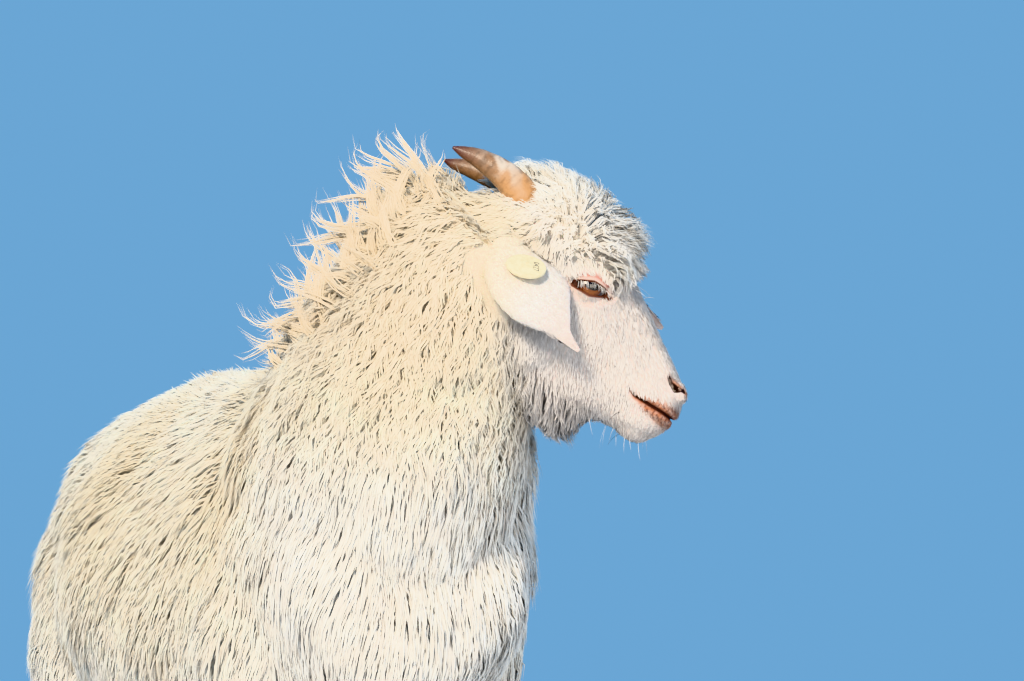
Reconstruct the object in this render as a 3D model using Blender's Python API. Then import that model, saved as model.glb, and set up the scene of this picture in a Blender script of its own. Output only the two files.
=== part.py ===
"""A young Australian cashmere goat at life size, standing, its neck bent and its head turned to its left.

Metres, +Z up, +X towards the goat's chest, +Y to its left. The flesh is lofted from sections, fused and
smoothed, dressed with locks of coat, and then parted by thin cuts into neck, torso, tail and legs. The head
is made the same way in its own frame. Eyes, ears, horns, ear tag and hooves are pieces of their own.
"""

import itertools
import math

import bmesh
import bpy
import numpy as np
from mathutils import Matrix, Vector
from mathutils.bvhtree import BVHTree

# Driving dimensions
HEAD_TURN = math.radians(68)  # the head's heading, turned to the left from the body's
HEAD_PITCH = math.radians(40)  # the head's own axis points this far below the horizon
HEAD_ORIGIN = Vector((0.333, 0.0495, 0.649))  # between the ear roots
FORE_X, FORE_Y = 0.165, 0.080  # where the fore feet stand
HIND_X, HIND_Y = -0.235, 0.078  # where the hind feet stand
COAT_SIDE = 0.040  # depth of the fleece over the ribs
COAT_NECK = 0.038
CORE_SHARE = 0.60  # share of the coat that is solid, the rest being locks
GAP = 0.0003  # between pieces that meet
EYE_R = 0.0142
EYE_AT = Vector((0.0680, 0.0370, 0.0190))  # the left eye's centre, in the head's frame
EYE_LOOK = Vector((0.22, 1, 0.12))
EYE_ALONG = Vector((1, 0, 0.40))  # along the opening between the lids
LID_LENGTH, LID_HEIGHT = 0.0255, 0.0120  # the opening between the lids
EAR_THICK = 0.0034
TAG_R, TAG_STEM = 0.0150, 0.0025
TAG_OFF = 0.0006  # between the tag's button and the ear
TAG_AT = (0.0260, -0.0023)  # along the face and above it, in the head's frame
NOSTRIL = Vector((0.1650, 0.0150, 0.0052))
MOUTH_X, MOUTH_Z, MOUTH_SLIT = 0.1460, -0.0192, 0.0009
MOUTH_RISE = 0.12  # how steeply the line of the mouth rises to the front
HOOF_Z = 0.030  # the hoof's upper edge at its middle
HOOF_SLOPE = 0.20  # how steeply the hoof's upper edge rises to the front
CLEFT = 0.0006  # half the gap between the claws
LEG_CLEAR = 0.0080  # a leg's region stands this far off its loft
FORE_TOP, HIND_TOP = 0.272, 0.288  # where the legs are parted from the torso
HEAD_BACK = 0.018  # the head is parted from the neck this far behind its origin
TAIL_X, TAIL_Z = -0.303, 0.452  # the tail is parted behind and above these
FLAT_WITHIN = 1.5  # degrees
SEED = 7
LOCK_TAPER = ((0, 0.3, 0.6, 1), (0.78, 1.0, 0.72, 0.0))  # share of a lock's width along its length
LOCK_TRIES = 6000  # places tried for locks, kept where they are far enough from the others
# The locks of each zone: how far apart, how wide, their run along the skin and their rise over the core
FLEECE_RISE = (1 - CORE_SHARE) * COAT_SIDE
LOCKS = {
    "fleece": (0.0625, 0.074, 0.106, FLEECE_RISE),
    "neck": (0.0525, 0.059, 0.087, 1.05 * FLEECE_RISE),
    "nape": (0.026, 0.030, 0.050, 0.052),
    "thigh": (0.044, 0.046, 0.060, 0.014),
    "tail": (0.026, 0.026, 0.050, 0.012),
    "topknot": (0.0200, 0.032, 0.034, 0.020),
    "jaw": (0.018, 0.018, 0.024, 0.013),
}
LEG_SIDE = 0.045  # the legs lie outside this, on both sides of the middle plane
BELLY_X = (-0.10, 0.08)  # between the hind legs and the fore legs
BARE_Z, SHORT_Z, THIGH_Z = 0.255, 0.285, 0.33  # no locks below the first, none on the legs below the second


def clear_scene():
    for obj in list(bpy.data.objects):
        bpy.data.objects.remove(obj)


def material(name, colour, roughness):
    made = bpy.data.materials.new(name)
    made.use_nodes = True
    shader = made.node_tree.nodes["Principled BSDF"]
    shader.inputs["Base Color"].default_value = (*colour, 1)
    shader.inputs["Roughness"].default_value = roughness
    shader.inputs["Metallic"].default_value = 0
    return made


def mesh_object(name, points, faces, collection=None):
    """A mesh in the scene, or in a collection of its own."""
    mesh = bpy.data.meshes.new(name)
    mesh.from_pydata([tuple(p) for p in points], [], [tuple(f) for f in faces])
    mesh.update()
    obj = bpy.data.objects.new(name, mesh)
    (collection or bpy.context.scene.collection).objects.link(obj)
    return obj


def faces_out(obj):
    """Turns every face of a closed mesh outwards and splits it into triangles."""
    work = bmesh.new()
    work.from_mesh(obj.data)
    bmesh.ops.triangulate(work, faces=work.faces)
    bmesh.ops.recalc_face_normals(work, faces=work.faces)
    work.to_mesh(obj.data)
    work.free()
    return obj


def between(a, b, c, d, t):
    """The place at t between b and c on a Catmull-Rom curve through all four."""
    return 0.5 * (2 * b + (c - a) * t + (2 * a - 5 * b + 4 * c - d) * t**2 + (3 * b - a - 3 * c + d) * t**3)


def smooth_rows(rows, steps):
    """Rows of numbers with more rows between them, on a Catmull-Rom curve through them."""
    rows = np.array(rows, float)
    padded = np.vstack([2 * rows[0] - rows[1], rows, 2 * rows[-1] - rows[-2]])
    made = []
    for i in range(len(rows) - 1):
        a, b, c, d = padded[i : i + 4]
        for t in np.arange(steps) / steps:
            made.append(between(a, b, c, d, t))
    return np.array(made + [rows[-1]])


def skin_rings(rings):
    """A closed mesh over rings of equal point counts, with a fan at each end."""
    count, sides = len(rings), len(rings[0])
    points = [p for ring in rings for p in ring]
    faces = []
    for i in range(count - 1):
        for j in range(sides):
            k = (j + 1) % sides
            faces.append((i * sides + j, i * sides + k, (i + 1) * sides + k, (i + 1) * sides + j))
    for ring, first, flip in ((rings[0], 0, True), (rings[-1], (count - 1) * sides, False)):
        points.append(sum((Vector(p) for p in ring), Vector()) / sides)
        hub = len(points) - 1
        for j in range(sides):
            a, b = first + j, first + (j + 1) % sides
            faces.append((b, a, hub) if flip else (a, b, hub))
    return points, faces


def limb(name, stations, sides=20, steps=4, grow=0.0):
    """A loft along stations of (x, y, z, half width, half height above, half height below), grown by grow."""
    rows = smooth_rows(stations, steps)
    rings = []
    last_up = Vector((-0.1, 0, 1))
    for i, row in enumerate(rows):
        ahead = rows[min(i + 1, len(rows) - 1), :3] - rows[max(i - 1, 0), :3]
        ahead = Vector(ahead).normalized()
        side = Vector((0, 1, 0))
        side = (side - ahead * side.dot(ahead)).normalized()
        up = ahead.cross(side)
        if up.dot(last_up) < 0:
            up = -up
        last_up = up
        wide, above, below = (max(v, 0.002) + grow for v in row[3:6])
        centre = Vector(row[:3])
        ring = []
        for j in range(sides):
            turn = 2 * math.pi * j / sides
            rise = above if math.sin(turn) > 0 else below
            ring.append(centre + side * wide * math.cos(turn) + up * rise * math.sin(turn))
        rings.append(ring)
    return faces_out(mesh_object(name, *skin_rings(rings)))


def apply_modifiers(obj):
    graph = bpy.context.evaluated_depsgraph_get()
    mesh = bpy.data.meshes.new_from_object(obj.evaluated_get(graph))
    obj.modifiers.clear()
    obj.data = mesh
    return obj


def join_meshes(name, objects):
    """One object holding the shapes of all of them, which are removed."""
    work = bmesh.new()
    for obj in objects:
        work.from_mesh(obj.data)
        bpy.data.objects.remove(obj)
    mesh = bpy.data.meshes.new(name)
    work.to_mesh(mesh)
    work.free()
    obj = bpy.data.objects.new(name, mesh)
    bpy.context.scene.collection.objects.link(obj)
    return obj


def fuse_smooth(name, objects, voxel, smoothing, triangles):
    """The shapes fused into one soft skin of about that many triangles."""
    obj = join_meshes(name, objects)
    remesh = obj.modifiers.new("fuse", "REMESH")
    remesh.mode = "VOXEL"
    remesh.voxel_size = voxel
    smooth = obj.modifiers.new("soften", "SMOOTH")
    smooth.factor = 0.5
    smooth.iterations = smoothing
    apply_modifiers(obj)
    faces = 2 * len(obj.data.polygons)
    thin = obj.modifiers.new("thin out", "DECIMATE")
    thin.ratio = triangles / faces
    return apply_modifiers(obj)


def boolean(obj, other, operation):
    """Joins or cuts obj with another object or a collection, which is then removed."""
    modifier = obj.modifiers.new("shape", "BOOLEAN")
    modifier.operation = operation
    modifier.solver = "MANIFOLD"
    if isinstance(other, bpy.types.Collection):
        modifier.operand_type = "COLLECTION"
        modifier.collection = other
        helpers = list(other.objects)
    else:
        modifier.object = other
        helpers = [other]
    apply_modifiers(obj)
    for helper in helpers:
        bpy.data.objects.remove(helper)
    if isinstance(other, bpy.types.Collection):
        bpy.data.collections.remove(other)
    return obj


def keep_largest(obj):
    """Keeps the largest closed surface of the mesh."""
    work = bmesh.new()
    work.from_mesh(obj.data)
    bmesh.ops.triangulate(work, faces=work.faces)
    left, groups = set(work.faces), []
    while left:
        group, edge = [], [left.pop()]
        while edge:
            face = edge.pop()
            group.append(face)
            for e in face.edges:
                for other in e.link_faces:
                    if other in left:
                        left.remove(other)
                        edge.append(other)
        groups.append(group)

    def volume(group):
        return abs(sum(f.verts[0].co.dot(f.verts[1].co.cross(f.verts[2].co)) for f in group))

    groups.sort(key=volume)
    for group in groups[:-1]:
        bmesh.ops.delete(work, geom=group, context="FACES")
    bmesh.ops.delete(work, geom=[v for v in work.verts if not v.link_faces], context="VERTS")
    work.to_mesh(obj.data)
    work.free()
    return obj


def merge_flats(obj):
    """Merges neighbouring triangles in one plane, then splits what that makes into fewer triangles."""
    work = bmesh.new()
    work.from_mesh(obj.data)
    bmesh.ops.dissolve_limit(work, angle_limit=math.radians(FLAT_WITHIN), verts=work.verts, edges=work.edges)
    bmesh.ops.triangulate(work, faces=work.faces)
    work.to_mesh(obj.data)
    work.free()
    return obj


def copy_of(obj, name):
    twin = obj.copy()
    twin.data = obj.data.copy()
    twin.name = name
    bpy.context.scene.collection.objects.link(twin)
    return twin


# The head's own frame: +X along the face to the lips, +Y to the left, +Z out of the forehead
HEADING = Vector((math.cos(HEAD_TURN), math.sin(HEAD_TURN), 0))
HEAD_X = HEADING * math.cos(HEAD_PITCH) - Vector((0, 0, 1)) * math.sin(HEAD_PITCH)
HEAD_Z = HEADING * math.sin(HEAD_PITCH) + Vector((0, 0, 1)) * math.cos(HEAD_PITCH)
HEAD_Y = HEAD_Z.cross(HEAD_X)
HEAD_MATRIX = Matrix((HEAD_X, HEAD_Y, HEAD_Z)).transposed().to_4x4()
HEAD_MATRIX.translation = HEAD_ORIGIN
NAPE_PLANE = HEAD_X * 0.61 + HEAD_Z * 0.79  # across the neck behind the ears
NECK_WAY = Vector((0.75, 0, 0.66))  # up the neck from the chest

# Sections: x, y, z of the centre, then half width, half height above and below it, under the coat
TORSO = [
    (0.306, 0, 0.415, 0.030, 0.034, 0.044),
    (0.284, 0, 0.415, 0.062, 0.058, 0.072),
    (0.205, 0, 0.416, 0.090, 0.102, 0.106),
    (0.150, 0, 0.410, 0.100, 0.125, 0.125),
    (0.060, 0, 0.402, 0.110, 0.130, 0.130),
    (-0.040, 0, 0.398, 0.120, 0.134, 0.126),
    (-0.120, 0, 0.406, 0.112, 0.131, 0.108),
    (-0.190, 0, 0.424, 0.094, 0.114, 0.092),
    (-0.245, 0, 0.436, 0.078, 0.086, 0.078),
    (-0.285, 0, 0.440, 0.054, 0.056, 0.056),
    (-0.302, 0, 0.440, 0.020, 0.020, 0.020),
]
NECK = [
    (0.110, 0, 0.425, 0.070, 0.085, 0.080),
    (0.195, 0, 0.468, 0.084, 0.082, 0.100),
    (0.262, 0, 0.530, 0.066, 0.071, 0.086),
    (0.303, 0.012, 0.585, 0.050, 0.066, 0.056),
    (0.325, 0.030, 0.632, 0.043, 0.058, 0.047),
    (0.336, 0.045, 0.655, 0.036, 0.042, 0.036),
]
FORE_LEG = [
    (-0.035, -0.014, 0.470, 0.030, 0.045, 0.045),
    (0.015, -0.004, 0.415, 0.038, 0.050, 0.050),
    (0.005, 0.004, 0.360, 0.036, 0.050, 0.045),
    (-0.010, 0.004, 0.315, 0.028, 0.036, 0.036),
    (-0.005, 0.002, 0.270, 0.0225, 0.0275, 0.0275),
    (0.000, 0.001, 0.220, 0.0175, 0.0190, 0.0190),
    (0.004, 0.000, 0.193, 0.0195, 0.0210, 0.0200),
    (0.003, 0.000, 0.170, 0.0175, 0.0185, 0.0185),
    (0.000, 0.000, 0.130, 0.0120, 0.0130, 0.0130),
    (0.000, 0.000, 0.098, 0.0130, 0.0145, 0.0145),
    (0.002, 0.000, 0.082, 0.0150, 0.0160, 0.0165),
    (0.013, 0.000, 0.060, 0.0140, 0.0140, 0.0150),
    (0.022, 0.000, 0.044, 0.0165, 0.0165, 0.0175),
    (0.028, 0.000, 0.034, 0.0165, 0.0175, 0.0175),
    (0.029, 0.000, 0.012, 0.0160, 0.0170, 0.0170),
]
HIND_LEG = [
    (0.048, -0.020, 0.470, 0.035, 0.060, 0.060),
    (0.046, 0.000, 0.405, 0.046, 0.080, 0.076),
    (0.050, 0.010, 0.350, 0.044, 0.074, 0.070),
    (0.034, 0.010, 0.305, 0.036, 0.054, 0.056),
    (0.000, 0.006, 0.258, 0.0250, 0.0320, 0.0340),
    (-0.030, 0.002, 0.222, 0.0175, 0.0200, 0.0240),
    (-0.034, 0.000, 0.200, 0.0170, 0.0190, 0.0210),
    (-0.026, 0.000, 0.165, 0.0135, 0.0150, 0.0150),
    (-0.018, 0.000, 0.125, 0.0125, 0.0135, 0.0135),
    (-0.012, 0.000, 0.098, 0.0135, 0.0145, 0.0145),
    (-0.009, 0.000, 0.082, 0.0150, 0.0160, 0.0165),
    (0.003, 0.000, 0.060, 0.0140, 0.0140, 0.0150),
    (0.012, 0.000, 0.044, 0.0165, 0.0165, 0.0175),
    (0.018, 0.000, 0.034, 0.0165, 0.0175, 0.0175),
    (0.019, 0.000, 0.012, 0.0160, 0.0170, 0.0170),
]
DEWCLAWS = [
    (x - 0.018, y + lean * 0.0095, 0.071)
    for x, y in ((FORE_X, FORE_Y), (HIND_X - 0.011, HIND_Y))
    for lean in (1, -1)
]
TAIL = [
    (-0.270, 0, 0.500, 0.022, 0.020, 0.022),
    (-0.305, 0, 0.515, 0.020, 0.017, 0.018),
    (-0.335, 0, 0.520, 0.018, 0.015, 0.015),
    (-0.362, 0, 0.508, 0.014, 0.012, 0.012),
    (-0.378, 0, 0.485, 0.009, 0.008, 0.008),
]

# The left horn's path in the head's frame, with its radius. Its tip lies a little lower than the right one's.
LEFT_TIP_SHIFT = (-0.0020, -0.0085)  # along x and z
HORN = [
    (0.000, 0.020, 0.0240, 0.0125),
    (-0.0100, 0.022, 0.0385, 0.0130),
    (-0.029, 0.0245, 0.0430, 0.0112),
    (-0.051, 0.0270, 0.0412, 0.0080),
    (-0.066, 0.0290, 0.0370, 0.0045),
    (-0.0745, 0.0300, 0.0345, 0.0010),
]
# The ears in the head's frame: the path's x, y, z, half widths above and below it, cup depth and twist
EAR_RIGHT = [
    (-0.024, -0.028, -0.002, 0.0120, 0.0120, 0.0100, 0.0),
    (-0.012, -0.046, 0.000, 0.0160, 0.0160, 0.0120, 0.2),
    (0.006, -0.062, -0.001, 0.0210, 0.0200, 0.0130, 0.5),
    (0.028, -0.073, -0.005, 0.0290, 0.0270, 0.0120, 0.6),
    (0.050, -0.077, -0.009, 0.0275, 0.0260, 0.0100, 0.5),
    (0.067, -0.077, -0.0140, 0.0140, 0.0165, 0.0070, 0.4),
    (0.079, -0.075, -0.0190, 0.0060, 0.0075, 0.0030, 0.3),
    (0.0940, -0.073, -0.0225, 0.0026, 0.0028, 0.0010, 0.2),
]
EAR_LEFT = [
    (-0.024, 0.028, -0.002, 0.0120, 0.0120, 0.0100, 0.0),
    (-0.012, 0.044, 0.001, 0.0160, 0.0160, 0.0120, 0.2),
    (0.010, 0.059, 0.006, 0.0210, 0.0200, 0.0130, 0.4),
    (0.038, 0.070, 0.013, 0.0270, 0.0260, 0.0110, 0.4),
    (0.070, 0.077, 0.022, 0.0250, 0.0240, 0.0090, 0.3),
    (0.098, 0.080, 0.031, 0.0140, 0.0150, 0.0060, 0.2),
    (0.116, 0.081, 0.036, 0.0065, 0.0070, 0.0030, 0.2),
    (0.128, 0.080, 0.037, 0.0026, 0.0028, 0.0010, 0.2),
]
# The lie of the coat on the body: a place, and the way the hair runs there
LIE_MIDDLE = [
    ((0.10, 0, 0.54), (-1.0, 0, -0.2)),
    ((-0.10, 0, 0.53), (-1.0, 0, 0.0)),
    ((-0.26, 0, 0.51), (-0.8, 0, -0.6)),
    ((-0.30, 0, 0.44), (0.0, 0, -1.0)),
    ((0.00, 0, 0.26), (-1.0, 0, 0.0)),
    ((0.27, 0, 0.40), (-0.2, 0, -1.0)),
    ((0.30, 0, 0.50), (-0.2, 0, -1.0)),
    ((0.22, 0, 0.56), (-0.7, 0, -0.7)),
    ((0.34, 0.03, 0.55), (-0.2, -0.1, -1.0)),
    ((0.28, 0.00, 0.63), (-0.7, -0.2, -0.5)),
    ((0.30, 0.00, 0.70), (-0.5, -0.4, 0.6)),
    ((-0.33, 0, 0.53), (-1.0, 0, -0.2)),
    ((-0.37, 0, 0.47), (-0.2, 0, -1.0)),
]
LIE_SIDES = [
    ((0.10, 0.09, 0.48), (-0.75, 0.3, -0.6)),
    ((-0.05, 0.11, 0.47), (-0.7, 0.0, -0.7)),
    ((-0.20, 0.09, 0.48), (-0.7, 0.0, -0.7)),
    ((0.12, 0.12, 0.40), (-0.55, 0.0, -0.85)),
    ((-0.05, 0.13, 0.40), (-0.55, 0.0, -0.85)),
    ((-0.20, 0.13, 0.38), (-0.4, 0.0, -0.9)),
    ((0.10, 0.10, 0.32), (-0.4, 0.0, -0.9)),
    ((-0.05, 0.10, 0.31), (-0.5, -0.2, -0.9)),
    ((0.25, 0.07, 0.42), (0.1, 0.6, -0.9)),
    ((0.26, 0.05, 0.50), (0.0, 0.5, -0.9)),
    ((0.20, 0.09, 0.50), (-0.1, 0.5, -0.9)),
    ((0.28, 0.06, 0.58), (-0.3, 0.3, -0.9)),
]
# The lie of the hair on the head, in the head's frame
LIE_HEAD = [
    ((0.070, 0, 0.055), (0.7, 0, 0.5)),
    ((0.035, 0, 0.058), (0.5, 0, 0.8)),
    ((0.000, 0, 0.050), (-0.2, 0, 1.0)),
    ((-0.030, 0, 0.030), (-1.0, 0, 0.1)),
    ((0.030, 0.035, 0.040), (0.1, 0.8, -0.2)),
    ((0.030, -0.035, 0.040), (0.1, -0.8, -0.2)),
    ((0.065, 0.030, 0.045), (0.7, 0.6, -0.1)),
    ((0.065, -0.030, 0.045), (0.7, -0.6, -0.1)),
    ((0.090, 0, -0.080), (0.6, 0, -0.8)),
    ((0.130, 0, -0.055), (0.7, 0, -0.7)),
]
COLOURS = {
    "coat": (0.86, 0.80, 0.68),
    "eye": (0.20, 0.10, 0.04),
    "horn": (0.42, 0.27, 0.15),
    "claw": (0.25, 0.20, 0.15),
    "ear_tag": (0.85, 0.80, 0.55),
}
ROUGHNESS = {"coat": 0.9, "eye": 0.1, "horn": 0.5, "claw": 0.5, "ear_tag": 0.4}

# Sections of the head: x, then top z, brow width and z, mid width and z, jaw width and z, bottom z
SKULL = [
    (-0.045, 0.012, 0.028, 0.000, 0.034, -0.024, 0.026, -0.048, -0.058),
    (-0.020, 0.038, 0.034, 0.026, 0.041, -0.015, 0.031, -0.060, -0.074),
    (0.005, 0.050, 0.036, 0.038, 0.045, -0.008, 0.033, -0.065, -0.081),
    (0.035, 0.056, 0.037, 0.045, 0.047, 0.000, 0.033, -0.065, -0.081),
    (0.065, 0.054, 0.037, 0.043, 0.047, 0.006, 0.031, -0.059, -0.075),
    (0.090, 0.046, 0.030, 0.036, 0.042, 0.001, 0.027, -0.051, -0.067),
    (0.112, 0.0355, 0.0225, 0.028, 0.0340, -0.006, 0.0235, -0.045, -0.0595),
    (0.135, 0.0245, 0.0180, 0.018, 0.0285, -0.013, 0.0205, -0.038, -0.0490),
    (0.155, 0.0160, 0.0165, 0.010, 0.0265, -0.014, 0.0195, -0.036, -0.0450),
    (0.168, 0.0095, 0.0160, 0.003, 0.0240, -0.012, 0.0175, -0.032, -0.0400),
    (0.1755, 0.0020, 0.0125, -0.004, 0.0185, -0.013, 0.0135, -0.027, -0.0340),
    (0.1800, -0.0080, 0.0050, -0.010, 0.0080, -0.015, 0.0060, -0.021, -0.0240),
]


def skull_ring(row, sides=28):
    """One section of the head, a closed smooth curve through eight points."""
    x, top, brow_w, brow_z, mid_w, mid_z, jaw_w, jaw_z, bottom = row
    half = [(brow_w, brow_z), (mid_w, mid_z), (jaw_w, jaw_z)]
    knots = np.array([(0, top), *half, (0, bottom), *[(-w, z) for w, z in reversed(half)]])
    ring = []
    for j in range(sides):
        place = j * len(knots) / sides
        i, t = int(place), place - int(place)
        a, b, c, d = (knots[(i + n) % len(knots)] for n in (-1, 0, 1, 2))
        ring.append(Vector((x, *between(a, b, c, d, t))))
    return ring


def ellipsoid(name, centre, radii, segments=24, rings=14):
    """An ellipsoid with its axes along X, Y and Z."""
    work = bmesh.new()
    bmesh.ops.create_uvsphere(work, u_segments=segments, v_segments=rings, radius=1)
    matrix = Matrix.Translation(centre) @ Matrix.Diagonal((*radii, 1))
    bmesh.ops.transform(work, matrix=matrix, verts=work.verts)
    mesh = bpy.data.meshes.new(name)
    work.to_mesh(mesh)
    work.free()
    obj = bpy.data.objects.new(name, mesh)
    bpy.context.scene.collection.objects.link(obj)
    return obj


def grown(stations, depths):
    """Stations with the coat's core added, by one depth for each."""
    return [(*s[:3], *(v + CORE_SHARE * d for v in s[3:])) for s, d in zip(stations, depths)]


def placed_leg(stations, x, y, side):
    return [(x + s[0], side * (y + s[1]), *s[2:]) for s in stations]


def make_body():
    """Torso, neck, legs and tail as one soft skin, out to the coat's core."""
    torso_coat = [COAT_SIDE * d for d in (0.9, 0.9, 0.9, 0.95, 1.0, 1.0, 1.0, 0.95, 0.9, 0.9, 0.8)]
    neck_coat = [COAT_NECK] * len(NECK)
    parts = [
        limb("torso", grown(TORSO, torso_coat), sides=28),
        limb("neck", grown(NECK, neck_coat), sides=24),
        limb("tail", grown(TAIL, [0.012] * len(TAIL))),
    ]
    for side in (1, -1):
        parts.append(limb("fore", placed_leg(FORE_LEG, FORE_X, FORE_Y, side)))
        parts.append(limb("hind", placed_leg(HIND_LEG, HIND_X, HIND_Y, side)))
        for x, y, z in DEWCLAWS:
            parts.append(ellipsoid("dewclaw", (x, side * y, z), (0.0065, 0.0065, 0.0085), 12, 8))
    return fuse_smooth("body", parts, 0.006, 6, 1800)


def lie_on_body():
    """All the body's guides of the lie, on both sides."""
    made = list(LIE_MIDDLE)
    for place, way in LIE_SIDES:
        made.append((place, way))
        made.append(((place[0], -place[1], place[2]), (way[0], -way[1], way[2])))
    return np.array([m[0] for m in made]), np.array([m[1] for m in made])


def lie_on_head():
    """The head's guides of the lie, in the body's frame."""
    turn = HEAD_MATRIX.to_3x3()
    places = [tuple(HEAD_MATRIX @ Vector(place)) for place, _ in LIE_HEAD]
    return np.array(places), np.array([tuple(turn @ Vector(way)) for _, way in LIE_HEAD])


def lie_at(guides, point, normal):
    """The way the hair runs at a point, between the nearest guides and along the skin."""
    places, ways = guides
    weights = 1 / (np.sum((places - np.array(point)) ** 2, axis=1) + 1e-5) ** 2
    way = Vector(weights @ ways)
    way -= normal * way.dot(normal)
    return way.normalized()


def body_coat(point):
    """Spacing, width, run and rise of the locks at a point of the body's core, or None where it is short."""
    x, y, z = point
    on_leg = abs(y) > LEG_SIDE and not BELLY_X[0] < x < BELLY_X[1]
    if (Vector(point) - HEAD_ORIGIN).dot(NAPE_PLANE) > -0.004:
        return None
    if x < TAIL_X and z > TAIL_Z:
        return LOCKS["tail"]
    if z < BARE_Z or (z < SHORT_Z and on_leg):
        return None
    if z < THIGH_Z and on_leg:
        return LOCKS["thigh"]
    if Vector(point).dot(NECK_WAY) > 0.46:
        return LOCKS["nape" if is_nape(x, y, z) else "neck"]
    return LOCKS["fleece"]


def is_nape(x, y, z):
    """Whether a point lies on the ridge of the neck, where the mane stands."""
    rows = np.array(NECK)
    near = rows[np.argmin(np.sum((rows[:, :3] - (x, y, z)) ** 2, axis=1))]
    along = np.clip((z - 0.50) / 0.16, 0, 1)
    ridge = Vector((-0.80, -0.35 * along, 0.55)).normalized()
    side = Vector((0, 1, 0)) - ridge * ridge.y
    out = Vector((x, y, z)) - Vector(near[:3])
    return z > 0.52 and out.dot(ridge) > 0.035 and abs(out.dot(side.normalized())) < 0.040


def head_coat(point):
    """The same for the head: a topknot, and a tuft under the jaw."""
    x, y, z = HEAD_MATRIX.inverted() @ Vector(point)
    if (Vector(point) - HEAD_ORIGIN).dot(NAPE_PLANE) < -0.010:
        return None
    if z > 0.030 and -0.040 < x < 0.080 and abs(y) < 0.040:
        spacing, width, run, rise = LOCKS["topknot"]
        return spacing, width, run, rise * float(np.interp(x, (-0.02, 0.03), (0.45, 1.0)))
    if z < -0.050 and abs(y) < 0.022 and 0.085 < x < 0.140:
        return LOCKS["jaw"]
    return None


def lock_rings(tree, guides, root, normal, width, run, rise, rng):
    """The sections of one lock, which follows the skin while it rises to its tip, or None where it can't."""
    segments = 4 if rise > 0.03 else 3
    step = run / segments
    curl, phase = rng.uniform(0.05, 0.16) * run, rng.uniform(0, 2 * math.pi)
    thick = min(0.30 * width, 0.012)
    foot, up = root, normal
    spine = [(foot - up * min(0.006, 0.3 * rise), up)]
    for i in range(segments):
        way = lie_at(guides, foot, up)
        side = up.cross(way)
        t = (i + 1) / segments
        sway = curl * (math.sin(phase + 3.5 * t) - math.sin(phase + 3.5 * (t - 1 / segments)))
        found, up, _, _ = tree.find_nearest(foot + way * step + side * sway)
        if found is None:
            return None
        foot = found
        spine.append((foot + up * rise * (1 - (1 - t) ** 1.7), up))
    rings = []
    for i, (place, up) in enumerate(spine[:-1]):
        ahead = (spine[i + 1][0] - place).normalized()
        side = ahead.cross(up).normalized()
        over = side.cross(ahead)
        wide = width / 2 * np.interp(i / segments, *LOCK_TAPER)
        deep = thick / 2 * (1 - 0.4 * i / segments)
        under = place - over * deep
        rings.append([under + side * wide, place + over * deep, under - side * wide])
    return rings, spine[-1][0]


def lock_object(rings, tip, collection):
    """One lock as a closed mesh, from its sections to its tip."""
    points = [p for ring in rings for p in ring] + [tip]
    faces = [(2, 1, 0)]
    for i in range(len(rings) - 1):
        for j in range(3):
            k = (j + 1) % 3
            faces.append((3 * i + j, 3 * i + k, 3 * i + 3 + k, 3 * i + 3 + j))
    last = 3 * (len(rings) - 1)
    faces += [(last + j, last + (j + 1) % 3, len(points) - 1) for j in range(3)]
    return faces_out(mesh_object("lock", points, faces, collection))


def surface_points(obj, count, rng):
    """Points spread at random over a mesh of triangles, with the normal at each."""
    mesh = obj.data
    mesh.calc_loop_triangles()
    corners = np.array([[mesh.vertices[i].co for i in t.vertices] for t in mesh.loop_triangles])
    cross = np.cross(corners[:, 1] - corners[:, 0], corners[:, 2] - corners[:, 0])
    area = np.linalg.norm(cross, axis=1)
    picks = rng.choice(len(area), count, p=area / area.sum())
    a, b = np.sqrt(rng.random(count)), rng.random(count)
    places = (
        corners[picks, 0] * (1 - a)[:, None]
        + corners[picks, 1] * (a * (1 - b))[:, None]
        + corners[picks, 2] * (a * b)[:, None]
    )
    return places, cross[picks] / area[picks][:, None]


def grow_locks(obj, coat, guides, seed):
    """Locks over an object's coat, as closed meshes in a collection of their own."""
    rng = np.random.default_rng(seed)
    tree = BVHTree.FromPolygons([v.co for v in obj.data.vertices], [p.vertices for p in obj.data.polygons])
    collection = bpy.data.collections.new("locks")
    bpy.context.scene.collection.children.link(collection)
    kept = []
    for place, normal in zip(*surface_points(obj, LOCK_TRIES, rng)):
        given = coat(place)
        if given is None:
            continue
        spacing, width, run, rise = given
        if any(np.sum((place - other) ** 2) < spacing**2 for other in kept):
            continue
        kept.append(place)
        size = rng.uniform(0.88, 1.12)
        sizes = [length * size for length in (width, run, rise)]
        made = lock_rings(tree, guides, Vector(place), Vector(normal), *sizes, rng)
        if made:
            lock_object(*made, collection)
    return collection


def make_skull():
    """The head's flesh in the body's frame."""
    rings = [skull_ring(row) for row in smooth_rows(SKULL, 4)]
    parts = [faces_out(mesh_object("skull", *skin_rings(rings)))]
    for side in (1, -1):
        parts.append(ellipsoid("orbit", (0.064, side * 0.036, 0.021), (0.024, 0.0165, 0.020)))
        parts.append(ellipsoid("cheek", (0.050, side * 0.030, -0.030), (0.036, 0.017, 0.030)))
        parts.append(ellipsoid("nostril_wing", (0.1665, side * 0.0120, 0.002), (0.0105, 0.0075, 0.0075)))
    parts.append(ellipsoid("topknot", (0.026, 0, 0.044), (0.054, 0.036, 0.026)))
    parts.append(ellipsoid("chin", (0.158, 0, -0.0365), (0.016, 0.015, 0.0105)))
    parts.append(ellipsoid("upper_lip", (0.1665, 0, -0.0075), (0.0125, 0.0185, 0.009)))
    head = fuse_smooth("head", parts, 0.0030, 4, 1200)
    head.data.transform(HEAD_MATRIX)
    return head


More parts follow.
